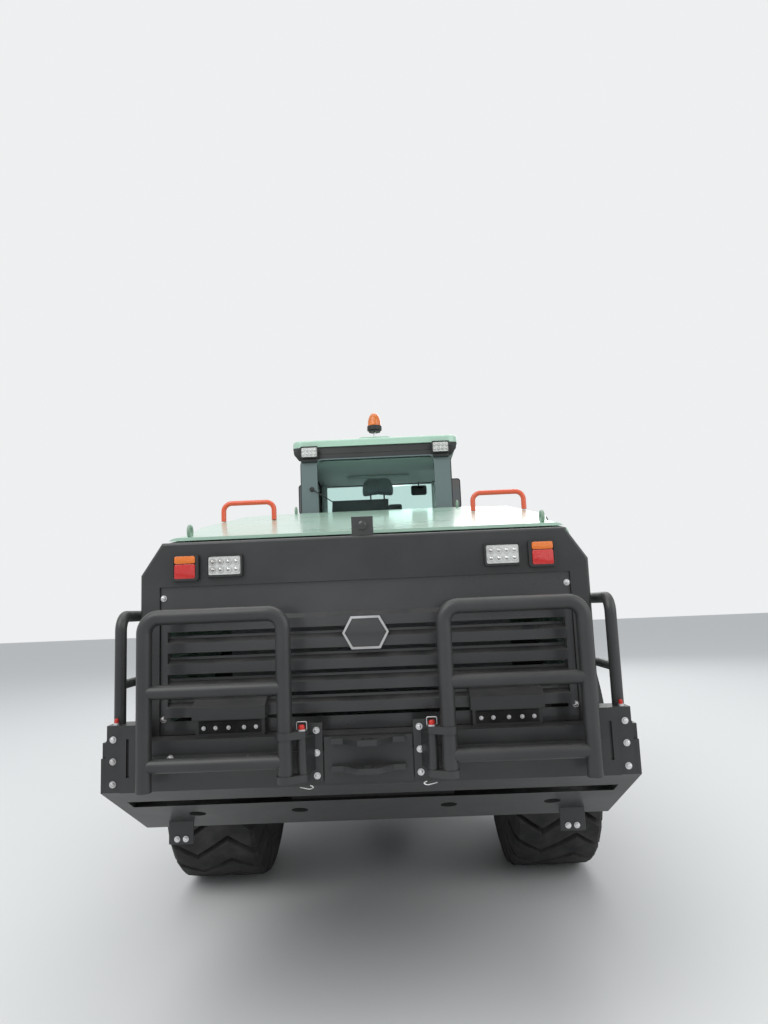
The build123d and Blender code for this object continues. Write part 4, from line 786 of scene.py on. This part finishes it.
def make_finishes():
    """Makes every finish from the colours in the panel."""
    paint = bpy.context.scene.loader_paint
    f = Finishes
    f.mint = painted("Mint hood paint", paint.mint, 0.30, coat=0.55, grain=0.03, dust=0.10, peel=90)
    f.dark = painted("Satin charcoal paint", paint.dark, 0.44, coat=0.12, grain=0.12, dust=0.10, peel=420)
    f.frame = painted("Charcoal chassis paint", (0.022, 0.0225, 0.0235), 0.5, grain=0.16, dust=0.22, peel=160)
    f.bucket = painted("Bucket paint", (0.026, 0.027, 0.028), 0.5, grain=0.16, dust=0.3, peel=120)
    f.handrail = painted("Handrail paint", paint.handrail, 0.34, coat=0.35, grain=0.04, dust=0.05, peel=120)
    f.green = painted("Lifting eye paint", (0.24, 0.36, 0.27), 0.4, grain=0.04, dust=0.05)
    f.rubber = rubber("Tyre rubber")
    f.seal = rubber("Seal rubber", (0.012, 0.012, 0.012))
    f.chrome = polished_rod("Hard chrome")
    f.bolt = worn_steel("Zinc plated steel", (0.62, 0.62, 0.63), 0.32, 90)
    f.steel = worn_steel("Bare steel", (0.34, 0.34, 0.35), 0.42)
    f.plastic = moulded("Black grained plastic", (0.016, 0.016, 0.017))
    f.red_tip = moulded("Red pin tip", (0.55, 0.02, 0.012), 0.35, 500, 0.05)
    f.glass = pane("Green tinted glass", paint.glass)
    f.white_lens = lens("White lamp lens", (0.80, 0.81, 0.78), 0.15)
    f.red_lens = lens("Red lamp lens", (0.62, 0.012, 0.010), 0.2, 60, 0.12)
    f.orange_lens = lens("Orange lamp lens", (0.85, 0.19, 0.01), 0.2, 60, 0.12)
    f.amber = lens("Amber beacon dome", (0.80, 0.19, 0.008), 0.3, 26, 0.03)
    f.cloth = woven("Seat cloth", (0.050, 0.064, 0.068))
    f.casting = painted("Battery case coating", (0.20, 0.21, 0.22), 0.5, grain=0.1, dust=0.12)
    f.blank = painted("Badge face", (0.018, 0.018, 0.019), 0.3, coat=0.5, grain=0.02, dust=0.02)
    f.mirror = worn_steel("Mirror face", (0.13, 0.14, 0.145), 0.05, 4)
    f.cell = worn_steel("Reflector", (0.66, 0.67, 0.66), 0.16, 20)
    f.lining = moulded("Cab lining", (0.52, 0.56, 0.54), 0.62, 260, 0.08)
    f.panel = moulded("Console plastic", (0.026, 0.027, 0.028), 0.72, 150, 0.03)
    # The pillars' colour is the glass's green tint over dark paint, lightened to a teal grey that is a painted
    # reflection of the pane.
    f.pillar = painted("Pillars behind the pane with painted reflection", (0.105, 0.155, 0.155), 0.22, coat=0.7, grain=0.02, dust=0.04)
    # The louvre paint is glossier than the dark paint, which is real, and a shade lighter, which is a painted
    # highlight on the lip tops.
    f.louvre = painted("Louvre paint with painted highlight", (0.020, 0.0205, 0.0215), 0.33, coat=0.45, grain=0.10, dust=0.16, peel=420)


def paint_nodes():
    """Gives every shown CAD node its finish."""
    f = Finishes
    rows = (
        (f.mint, ("hood", "cab_roof")),
        (f.louvre, ("louvre_grille",)),
        (f.dark, (
            "rear_cowl", "tow_coupling", "guard_brackets", "rear_guard_left", "rear_guard_right",
            "side_guard_left", "side_guard_right", "counterweight", "charge_boxes", "cab_shell", "cab_door",
        )),
        (f.frame, (
            "rear_axle", "front_axle", "rear_frame", "front_frame", "boom", "bell_crank", "bucket_link",
            "drive_motor", "access_steps", "steering_barrel_left", "steering_barrel_right", "lift_barrels",
            "tilt_barrel", "rim_front_left", "rim_front_right", "rim_rear_left", "rim_rear_right",
        )),
        (f.bucket, ("bucket",)),
        (f.handrail, ("handrails",)),
        (f.chrome, ("steering_rod_left", "steering_rod_right", "lift_rods", "tilt_rod")),
        (f.steel, ("cutting_edge", "bell_crank_pin", "link_pin", "bucket_pins")),
        (f.casting, ("battery_pack",)),
        (f.glass, ("cab_glass", "door_glass")),
        (f.blank, ("reversing_camera",)),
        (f.panel, ("operator_controls",)),
        (f.plastic, (
            "mirrors", "rear_mudguards", "front_mudguards", "front_lamps",
            "work_lamps", "tail_lamps", "beacon", "seat",
        )),
        (f.rubber, ("tyre_front_left", "tyre_front_right", "tyre_rear_left", "tyre_rear_right")),
    )
    for material, names in rows:
        for name in names:
            mesh = nodes[name].data
            mesh.materials.clear()
            mesh.materials.append(material)


# Operators


class LOADER_OT_finishes(bpy.types.Operator):
    """Make the finishes and give the frame's own parts theirs"""

    bl_idname = "loader.finishes"
    bl_label = "Finishes"

    def execute(self, context):
        make_finishes()
        paint_nodes()
        return {"FINISHED"}


class LOADER_OT_fasteners(bpy.types.Operator):
    """Set bolt heads and wheel nuts where the real ones are"""

    bl_idname = "loader.fasteners"
    bl_label = "Fasteners"

    def execute(self, context):
        f = Finishes
        tree = bolt_tree()
        head = (context.scene.loader_sizes.bolt_radius, *TAIL_BOLT_HEIGHTS)
        set_bolts("tail_bolts", tree, tail_bolts(), head, f.bolt, "chassis")
        for name, side, axle_y in WHEELS:
            for label, rings, head, finish in (
                ("wheel_nuts", NUT_RINGS, WHEEL_NUT, f.frame), ("hub_screws", SCREW_RINGS, HUB_SCREW, f.bolt),
            ):
                spots = wheel_spots(rings, side, axle_y)
                set_bolts(f"{label}_{name}", tree, spots, head, finish, f"wheel_{name}")
        set_bolts("edge_bolts", tree, edge_bolts(), EDGE_BOLT, f.steel, "bucket")
        scatter(
            "grip_studs", stud_tree(), grip_studs(), {"Stud Radius": 0.008}, f.frame, "chassis",
        )
        return {"FINISHED"}


class LOADER_OT_tyres(bpy.types.Operator):
    """Build the tyres with their zigzag lugs and the lock rings"""

    bl_idname = "loader.tyres"
    bl_label = "Tyres"

    def execute(self, context):
        sizes = context.scene.loader_sizes
        wall = TYRE_WALL + tuple((radius, -reach) for radius, reach in TYRE_WALL[-2:0:-1])
        for name, side, axle_y in WHEELS:
            centre = (side * TRACK_HALF, axle_y, AXLE_Z)
            bm = bmesh.new()
            turned(bm, wall, centre, (1, 0, 0), 120, loop=True)
            for turn in range(sizes.lug_count):
                start = -math.radians(FIRST_LUG_DEGREES) - math.tau * turn / sizes.lug_count
                lug(bm, centre, side, sizes.lug_width, start)
            piece(
                f"carcass_{name}", bm, Finishes.rubber, f"wheel_{name}", 32, (f"tyre_{name}",),
            )
            bm = bmesh.new()
            ring = ((0.336, 0.250), (0.354, 0.250), (0.358, 0.254), (0.354, 0.258), (0.340, 0.258))
            turned(bm, ring, centre, (side, 0, 0), 72, loop=True)
            piece(f"lock_ring_{name}", bm, Finishes.frame, f"wheel_{name}")
        return {"FINISHED"}


class LOADER_OT_lamps(bpy.types.Operator):
    """Build the tail lamps, work lamps and front lamps"""

    bl_idname = "loader.lamps"
    bl_label = "Lamps"

    def execute(self, context):
        f = Finishes
        housings, red, orange = bmesh.new(), bmesh.new(), bmesh.new()
        for side in (-1, 1):
            x, z = side * 0.780, 2.017
            half = (0.061, 0.059)
            plate(housings, round_rect((x, z), half, 0.014), COWL_Y - 0.013, COWL_Y, "Y", 0.002)
            frame_round(housings, (x, z), half, 0.013, COWL_Y - 0.019, COWL_Y - 0.012, radius=0.014)
            for bm, level, high in ((red, 1.9995, 0.032), (orange, 2.0505, 0.0165)):
                outline = round_rect((x, level), (0.0455, high), 0.007)
                plate(bm, outline, COWL_Y - 0.0195, COWL_Y - 0.0125, "Y", 0.002)
        stands = ("tail_lamps",)
        piece("tail_lamp_housings", housings, f.plastic, "chassis", stands_for=stands)
        piece("tail_lamp_red", red, f.red_lens, "chassis", stands_for=stands)
        piece("tail_lamp_orange", orange, f.orange_lens, "chassis", stands_for=stands)

        housings, faces = bmesh.new(), bmesh.new()
        spots = []
        # Distance out, height, half width, half height, the face it stands on, facing
        lamps = (
            (0.607, 2.020, 0.080, 0.050, COWL_Y, -1), (0.560, 3.150, 0.075, 0.050, CAB_REAR_Y - 0.042, -1),
            (0.560, 3.170, 0.060, 0.030, 0.358, 1),
        )
        for side in (-1, 1):
            for x, z, wide, high, back, facing in lamps:
                x *= side
                base, face, rim = (back + facing * step for step in (0, 0.0105, 0.018))
                plate(housings, round_rect((x, z), (wide, high), 0.010), *sorted((base, face)), "Y", 0.002)
                levels = sorted((face - facing * 0.001, rim))
                frame_round(housings, (x, z), (wide, high), 0.008, *levels, radius=0.010)
                outline = round_rect((x, z), (wide - 0.010, high - 0.010), 0.006)
                plate(faces, outline, *sorted((face - facing * 0.001, face + facing * 0.002)), "Y")
                rows = 1 if high < 0.04 else 2
                columns = 4 if wide > 0.07 else 3
                spots.extend(cell_spots(x, face + facing * 0.002, z, columns, rows, 0.034, facing))
            side_box(housings, side, (0.498, 0.622), (CAB_REAR_Y - 0.044, CAB_REAR_Y - 0.008), (3.105, 3.195), 0.006)
            side_box(housings, side, (0.510, 0.610), (0.330, 0.360), (3.145, 3.195), 0.005)
            side_box(housings, side, (0.495, 0.630), (CAB_REAR_Y - 0.040, CAB_REAR_Y - 0.010), (3.068, 3.102), 0.004)
            corner = ((0.634, 3.196), (0.700, 3.196), (0.694, 3.140), (0.652, 3.085), (0.634, 3.085))
            plate(housings, [(side * x, z) for x, z in corner], CAB_REAR_Y - 0.016, CAB_REAR_Y - 0.004, "Y", 0.002)
        stands = ("work_lamps",)
        piece("work_lamp_housings", housings, f.plastic, "chassis", stands_for=stands)
        piece("work_lamp_faces", faces, f.white_lens, "chassis", stands_for=stands)
        scatter(
            "work_lamp_cells", cell_tree(), spots, {"Cell Radius": context.scene.loader_sizes.lamp_cell}, f.cell,
            "chassis",
        )

        rims, faces = bmesh.new(), bmesh.new()
        spots = []
        for side in (-1, 1):
            x, z = side * 0.66, 2.37
            frame_round(rims, (x, z), (0.099, 0.069), 0.012, 1.088, 1.104, radius=0.016)
            plate(faces, round_rect((x, z), (0.088, 0.058), 0.010), 1.096, 1.1015, "Y")
            for shift in (-0.043, 0.043):
                spots.append(((x + shift, 1.1015, z), (0, 1, 0)))
        piece("front_lamp_rims", rims, f.plastic, "front_chassis")
        piece("front_lamp_faces", faces, f.white_lens, "front_chassis")
        scatter(
            "front_lamp_cells", cell_tree(), spots, {"Cell Radius": 0.036}, f.cell, "front_chassis",
        )
        return {"FINISHED"}


class LOADER_OT_beacon(bpy.types.Operator):
    """Build the beacon: stem, black base and amber dome"""

    bl_idname = "loader.beacon"
    bl_label = "Beacon"

    def execute(self, context):
        f = Finishes
        parts = (
            ("beacon_stem", f.bolt, "rod_chrome", (
                (0, 0), (0.026, 0), (0.026, 0.004), (0.012, 0.006), (0.012, 0.068), (0, 0.068),
            )),
            ("beacon_base", f.plastic, "trim_plastic", (
                (0, 0.066), (0.050, 0.066), (0.052, 0.080), (0.064, 0.082), (0.064, 0.117), (0.060, 0.121),
                (0, 0.121),
            )),
            ("beacon_dome", f.amber, "amber_lens", (
                (0, 0.121), (0.060, 0.121), (0.060, 0.127), (0.0575, 0.129), (0.057, 0.150), (0.0545, 0.170),
                (0.050, 0.189), (0.043, 0.207), (0.034, 0.222), (0.022, 0.233), (0.010, 0.239), (0, 0.241),
            )),
        )
        for name, finish, slot, profile in parts:
            bm = bmesh.new()
            turned(bm, profile, BEACON_FOOT, UP, 56)
            piece(name, bm, finish, "chassis", stands_for=("beacon",))
        return {"FINISHED"}


class LOADER_OT_tail(bpy.types.Operator):
    """Build the pins, flap brackets, bare badge plate, charge box bolts, lifting eyes and camera lens"""

    bl_idname = "loader.tail"
    bl_label = "Tail fittings"

    def execute(self, context):
        f = Finishes
        for name, side in SIDES:
            spot = Vector((side * GUARD_PIN[0], GUARD_PIN[1], 0))
            collar, tip = bmesh.new(), bmesh.new()
            profile = ((0.0115, 1.340), (0.021, 1.340), (0.021, 1.346), (0.0115, 1.346))
            turned(collar, profile, spot, UP, 32, True)
            reach = Vector((0.020, 0, 0))
            low, high = Vector((0, 0, 1.343)), Vector((0, 0, 1.374))
            loop = (spot - reach + low, spot - reach + high, spot + reach + high, spot + reach + low)
            tube(collar, loop, 0.0022, 0.006, 10)
            profile = ((0, 1.346), (0.0125, 1.346), (0.0125, 1.358), (0.009, 1.3625), (0, 1.364))
            turned(tip, profile, spot, UP, 28)
            clip = [(0.010, -0.012, 1.128), (-0.030, -0.018, 1.120), (-0.046, -0.010, 1.127), (-0.030, -0.004, 1.131)]
            tube(collar, [spot + Vector((side * x, y, z)) for x, y, z in clip], 0.0022, 0.012, 10)
            piece(f"pin_collar_{name}", collar, f.bolt, f"rear_guard_{name}")
            piece(f"pin_tip_{name}", tip, f.red_tip, f"rear_guard_{name}")

        pins, tips, brackets = bmesh.new(), bmesh.new(), bmesh.new()
        for side in (-1, 1):
            spot = (side * SIDE_PIN[0], SIDE_PIN[1], 0)
            profile = ((0, 1.370), (0.013, 1.370), (0.013, 1.384), (0.009, 1.386), (0, 1.386))
            turned(pins, profile, spot, UP, 28)
            profile = ((0, 1.385), (0.0085, 1.385), (0.0085, 1.398), (0.005, 1.402), (0, 1.402))
            turned(tips, profile, spot, UP, 24)
            side_box(brackets, side, (0.845, 0.960), (FLAP_Y, -3.580), (0.765, 0.905), 0.004)
            side_box(brackets, side, (0.870, 0.885), (-3.580, -3.520), (0.765, 0.905), 0.003)
        piece("side_pins", pins, f.bolt, "chassis")
        piece("side_pin_tips", tips, f.red_tip, "chassis")
        piece("flap_brackets", brackets, f.frame, "chassis")

        face, rim = bmesh.new(), bmesh.new()
        middle = 1.708
        outlines = []
        for grow in (1.0, 0.90):
            wide, high = 0.100 * grow, 0.070 * grow + (grow - 1) * 0.03
            outlines.append([
                (-wide, middle), (-wide * 0.62, middle - high), (wide * 0.62, middle - high), (wide, middle),
                (wide * 0.62, middle + high), (-wide * 0.62, middle + high),
            ])
        plate(face, outlines[0], COWL_Y - 0.022, COWL_Y - 0.0125, "Y", 0.001)
        band(rim, outlines[0], outlines[1], COWL_Y - 0.025, COWL_Y - 0.0215)
        piece("badge_face", face, f.blank, "chassis")
        piece("badge_rim", rim, f.bolt, "chassis")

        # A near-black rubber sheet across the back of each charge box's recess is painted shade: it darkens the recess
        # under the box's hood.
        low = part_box("charge_boxes")[0]
        recess_shade, spots = bmesh.new(), []
        for side in (-1, 1):
            spans = (low.y + 0.024, low.y + 0.030), (low.z + 0.012, low.z + 0.062)
            side_box(recess_shade, side, (0.449, 0.711), *spans, 0.002)
            for x in (0.470, 0.520, 0.585, 0.640, 0.690):
                spots.append(((side * x, low.y + 0.024, low.z + 0.034), BACK))
        piece("charge_recess_shade", recess_shade, f.seal, "chassis")
        set_bolts("charge_box_bolts", bolt_tree(), spots, CHARGE_BOX_BOLT, f.bolt, "chassis")

        eyes = bmesh.new()
        angles = [math.tau * step / 12 for step in range(12)]
        profile = [(0.028 + 0.0088 * math.cos(angle), 0.0088 * math.sin(angle)) for angle in angles]
        for side in (-1, 1):
            for x, y, z in ((0.865, -3.560, 2.2177), (0.660, -1.260, 2.6245)):
                turned(eyes, profile, (side * x, y, z), (1, 0, 0), 36, True)
        piece("lifting_eyes", eyes, f.green, "chassis")

        lens_mesh = bmesh.new()
        turned(
            lens_mesh, ((0, 0), (0.017, 0), (0.017, 0.003), (0.012, 0.0055), (0.006, 0.0068), (0, 0.007)),
            (0, COWL_Y + 0.009, COWL_TOP_Z + 0.046), BACK, 40,
        )
        piece("camera_lens", lens_mesh, f.blank, "chassis")
        return {"FINISHED"}


class LOADER_OT_cab_trim(bpy.types.Operator):
    """Build the pane border, wiper, seals, lining, inside mirror and the dark band under the roof"""

    bl_idname = "loader.cab_trim"
    bl_label = "Cab trim"

    def execute(self, context):
        f = Finishes
        outer_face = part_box("cab_glass")[0].y
        # The border sheet on the pane carries the pillars' colour, a painted reflection that lightens the dark pillars
        # behind the glass.
        border = bmesh.new()
        band(
            border, round_rect((0, 2.689), (0.637, 0.408), 0.03), round_rect((0, 2.745), (0.500, 0.343), 0.05),
            outer_face - 0.0015, outer_face - 0.0002,
        )
        piece("pane_border", border, f.pillar, "chassis")

        wiper = bmesh.new()
        level = outer_face - 0.012
        arm = ((-0.548, level, 2.835), (-0.46, level - 0.006, 2.778), (-0.372, level, 2.717))
        tube(wiper, arm, 0.0045, 0.03, 10)
        blade = ((-0.400, level + 0.004, 2.45), (-0.380, level + 0.002, 2.60), (-0.372, level + 0.002, 2.717))
        tube(wiper, blade, 0.005, 0.05, 10)
        turned(
            wiper, ((0, 0), (0.020, 0), (0.020, 0.012), (0.013, 0.018), (0, 0.018)), (-0.548, outer_face, 2.835),
            BACK, 28,
        )
        piece("rear_wiper", wiper, f.plastic, "chassis")

        seals = bmesh.new()
        windows = ((1, -0.98, -0.68), (1, -0.56, 0.19), (-1, -0.98, -0.68))
        for side, low_y, high_y in windows:
            levels = sorted((side * (CAB_X - 0.001), side * (CAB_X + 0.004)))
            frame_rect(
                seals, (low_y - 0.016, high_y + 0.016), (WINDOW_LOW - 0.016, WINDOW_TOP + 0.016), 0.024, *levels,
                axis="X", radius=0.045,
            )
        piece("window_seals", seals, f.seal, "chassis")

        low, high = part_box("door_glass")
        seal = bmesh.new()
        frame_rect(
            seal, (low.y - 0.012, high.y + 0.012), (low.z - 0.012, high.z + 0.012), 0.024, -CAB_X - 0.003,
            -CAB_X + 0.001, axis="X", radius=0.035,
        )
        handle = ((0, 1.95), (0.03, 1.95), (0.03, 2.22), (0, 2.22))
        tube(seal, [(-CAB_X - out, 0.16, z) for out, z in handle], 0.008, 0.02, 12)
        piece("door_seal", seal, f.seal, "door")

        lining = bmesh.new()
        inner = CAB_X - 0.05
        box(lining, (-inner + 0.002, -0.995, 3.081), (inner - 0.002, 0.245, 3.089), 0.002)
        for side in (-1, 1):
            side_box(lining, side, (inner - 0.070, inner - 0.002), (-0.998, -0.960), (2.14, 3.080), 0.010)
            side_box(lining, side, (inner - 0.060, inner - 0.002), (0.190, 0.228), (2.14, 3.080), 0.010)
        box(lining, (-0.30, -0.30, 3.055), (0.30, 0.10, 3.082), 0.012)
        piece("cab_lining", lining, f.lining, "chassis")

        mirror = bmesh.new()
        plate(mirror, round_rect((0.405, 2.990), (0.080, 0.050), 0.020), 0.155, 0.175, "Y", 0.005)
        rod(mirror, (0.405, 0.172, 2.990), (0.405, 0.195, 3.082), 0.006, 12, 0.001)
        piece("inside_mirror", mirror, f.plastic, "chassis")

        head = bmesh.new()
        frame_rect(head, (-0.612, 0.612), (-1.054, 0.334), 0.012, 3.1402, 3.1998, axis="Z", radius=0.014)
        piece("head_band", head, f.dark, "chassis")
        return {"FINISHED"}


class LOADER_OT_mirrors(bpy.types.Operator):
    """Build the outside mirrors"""

    bl_idname = "loader.mirrors"
    bl_label = "Mirrors"

    def execute(self, context):
        shells, faces = bmesh.new(), bmesh.new()
        for side in (-1, 1):
            centre = (side * 0.7705, 2.955)
            half = (0.0675, 0.155)
            plate(shells, round_rect(centre, half, 0.030, 6), 0.231, 0.270, "Y", 0.008)
            frame_round(shells, centre, half, 0.009, 0.2285, 0.236, radius=0.030)
            arm = ((0.64, 0.240, 2.90), (0.70, 0.240, 2.90), (0.74, 0.252, 2.92))
            tube(shells, [(side * x, y, z) for x, y, z in arm], 0.0105, 0.03)
            plate(faces, round_rect(centre, (0.0585, 0.146), 0.024, 6), 0.2300, 0.2325, "Y")
        piece("mirror_shells", shells, Finishes.plastic, "chassis", stands_for=("mirrors",))
        piece("mirror_faces", faces, Finishes.mirror, "chassis", stands_for=("mirrors",))
        return {"FINISHED"}


class LOADER_OT_seat(bpy.types.Operator):
    """Build the driver's seat from padded cushions on a frame"""

    bl_idname = "loader.seat"
    bl_label = "Seat"

    def execute(self, context):
        cloth = Finishes.cloth
        pad = bmesh.new()
        box(pad, (-0.232, -0.618, 2.100), (0.232, -0.205, 2.178), 0.030, 3)
        # A seam's channel: axis it is measured along, place, half width, depth
        cushion("base_cushion", pad, cloth, ((0, -0.135, 0.012, 0.007), (0, 0.135, 0.012, 0.007)), 0.016)
        pad = bmesh.new()
        outline = ((-0.742, 2.232), (-0.668, 2.228), (-0.732, 2.708), (-0.782, 2.700))
        plate(pad, outline, -0.222, 0.222, "X", 0.022)
        seams = ((2, 2.36), (2, 2.46), (2, 2.56), (0, -0.15), (0, 0.15))
        channels = [(axis, level, 0.011, 0.006) for axis, level in seams]
        cushion("back_cushion", pad, cloth, channels, 0.015)
        pad = bmesh.new()
        face = (
            (-0.128, 2.803), (0.138, 2.803), (0.146, 2.830), (0.142, 2.880), (0.126, 2.935), (0.092, 2.964),
            (-0.082, 2.964), (-0.116, 2.935), (-0.132, 2.880), (-0.136, 2.830),
        )
        plate(pad, face, -0.792, -0.733, "Y", 0.016)
        cushion("headrest", pad, cloth, ((0, 0.005, 0.009, 0.004),), 0.011)
        shell = bmesh.new()
        box(shell, (-0.22, -0.62, 2.081), (0.22, -0.20, 2.100), 0.008)
        box(shell, (-0.215, -0.738, 2.142), (0.215, -0.60, 2.215), 0.014)
        plate(shell, ((-0.762, 2.235), (-0.746, 2.235), (-0.786, 2.705), (-0.798, 2.705)), -0.20, 0.20, "X", 0.005)
        side_box(shell, 1, (0.095, 0.215), (-0.775, -0.735), (2.58, 2.722), 0.018, 3)
        for post in (-0.06, 0.06):
            rod(shell, (post, -0.758, 2.68), (post, -0.762, 2.84), 0.0068, 16, 0.001)
        piece("cushion_shell", shell, Finishes.plastic, "chassis", stands_for=("seat",))
        return {"FINISHED"}


class LOADER_OT_hydraulics(bpy.types.Operator):
    """Build the gland rings at the cylinders' mouths"""

    bl_idname = "loader.hydraulics"
    bl_label = "Hydraulics"

    def execute(self, context):
        rings = bmesh.new()
        for x in (-0.41, 0.41):
            gland(rings, (x, 0.53, 0.93), (x, 1.66, 1.36), 1.112, 0.0395, 0.071)
        piece("lift_glands", rings, Finishes.steel, "lift_barrels")
        rings = bmesh.new()
        gland(rings, (0, 1.02, 1.93), (0, 2.02, 1.98), 0.70, 0.0465, 0.084)
        piece("tilt_gland", rings, Finishes.steel, "tilt_barrel")
        for name, side in SIDES:
            rings = bmesh.new()
            gland(rings, (side * 0.45, -0.70, 0.76), (side * 0.33, 0.33, 0.76), 0.64, 0.0315, 0.053)
            piece(f"steering_gland_{name}", rings, Finishes.steel, f"steering_barrel_{name}")
        return {"FINISHED"}


class LOADER_OT_stage(bpy.types.Operator):
    """Set the floor, the light and the camera"""

    bl_idname = "loader.stage"
    bl_label = "Stage"

    def execute(self, context):
        scene = context.scene
        bm = bmesh.new()
        bmesh.ops.create_grid(bm, x_segments=1, y_segments=1, size=60)
        mesh = bpy.data.meshes.new("floor")
        bm.to_mesh(mesh)
        bm.free()
        floor = bpy.data.objects.new("floor", mesh)
        scene.collection.objects.link(floor)
        mesh.materials.append(start_material("Pale floor", (0.74, 0.74, 0.73), 0.85)[0])

        world = bpy.data.worlds.new("Studio")
        scene.world = world
        world.use_nodes = True
        tree = world.node_tree
        tree.nodes.clear()
        paths = node(tree, "ShaderNodeLightPath")
        seen = sized(tree, paths.outputs["Is Camera Ray"], paths.outputs["Is Transmission Ray"], "MAXIMUM")
        seen = sized(tree, seen, paths.outputs["Is Glossy Ray"], "MAXIMUM")
        light = node(tree, "ShaderNodeBackground", {"Color": (0.90, 0.95, 1.0, 1), "Strength": 0.62})
        shown = node(tree, "ShaderNodeBackground", {"Color": (0.93, 0.94, 0.95, 1), "Strength": 0.92})
        mixed = node(tree, "ShaderNodeMixShader", {0: seen, 1: light.outputs[0], 2: shown.outputs[0]})
        node(tree, "ShaderNodeOutputWorld", {"Surface": mixed.outputs[0]})

        for name, spot, size, power in LIGHTS:
            light = bpy.data.lights.new(name, "AREA")
            light.size = size
            light.energy = power
            lamp = bpy.data.objects.new(name, light)
            lamp.location = spot
            lamp.rotation_mode = "QUATERNION"
            lamp.rotation_quaternion = (Vector(LOOK_AT) - Vector(spot)).to_track_quat("-Z", "Y")
            scene.collection.objects.link(lamp)

        yaw, pitch, roll = CAMERA_YAW, CAMERA_PITCH, CAMERA_ROLL
        ahead = Vector((math.sin(yaw) * math.cos(pitch), math.cos(yaw) * math.cos(pitch), math.sin(pitch)))
        level = Vector((math.cos(yaw), -math.sin(yaw), 0))
        above = level.cross(ahead)
        right = level * math.cos(roll) + above * math.sin(roll)
        top = above * math.cos(roll) - level * math.sin(roll)
        camera = bpy.data.objects.new("camera", bpy.data.cameras.new("camera"))
        camera.data.sensor_width = 36
        camera.data.lens = CAMERA_LENS
        camera.data.clip_end = 300
        rows = [(right[axis], top[axis], -ahead[axis], CAMERA_SPOT[axis]) for axis in range(3)]
        camera.matrix_world = Matrix((*rows, (0, 0, 0, 1)))
        scene.collection.objects.link(camera)
        scene.camera = camera
        scene.view_settings.view_transform = "Standard"
        return {"FINISHED"}


class LOADER_PT_panel(bpy.types.Panel):
    """Steps that dress the loader"""

    bl_label = "Loader"
    bl_idname = "LOADER_PT_panel"
    bl_space_type = "VIEW_3D"
    bl_region_type = "UI"
    bl_category = "Loader"

    def draw(self, context):
        for step in STEPS:
            self.layout.operator(step.bl_idname)
        for group in (context.scene.loader_paint, context.scene.loader_sizes):
            column = self.layout.column()
            for name in group.__annotations__:
                column.prop(group, name)


STEPS = (
    LOADER_OT_finishes, LOADER_OT_fasteners, LOADER_OT_tyres, LOADER_OT_lamps, LOADER_OT_beacon, LOADER_OT_tail,
    LOADER_OT_cab_trim, LOADER_OT_mirrors, LOADER_OT_seat, LOADER_OT_hydraulics, LOADER_OT_stage,
)
CLASSES = (LoaderPaint, LoaderSizes, *STEPS, LOADER_PT_panel)


def register():
    for made in CLASSES:
        bpy.utils.register_class(made)
    bpy.types.Scene.loader_paint = PointerProperty(type=LoaderPaint)
    bpy.types.Scene.loader_sizes = PointerProperty(type=LoaderSizes)


def unregister():
    del bpy.types.Scene.loader_sizes
    del bpy.types.Scene.loader_paint
    for made in reversed(CLASSES):
        bpy.utils.unregister_class(made)


def main():
    """Dresses the frame step by step."""
    register()
    for step in STEPS:
        group, name = step.bl_idname.split(".")
        getattr(getattr(bpy.ops, group), name)()


if __name__ == "__main__":
    main()
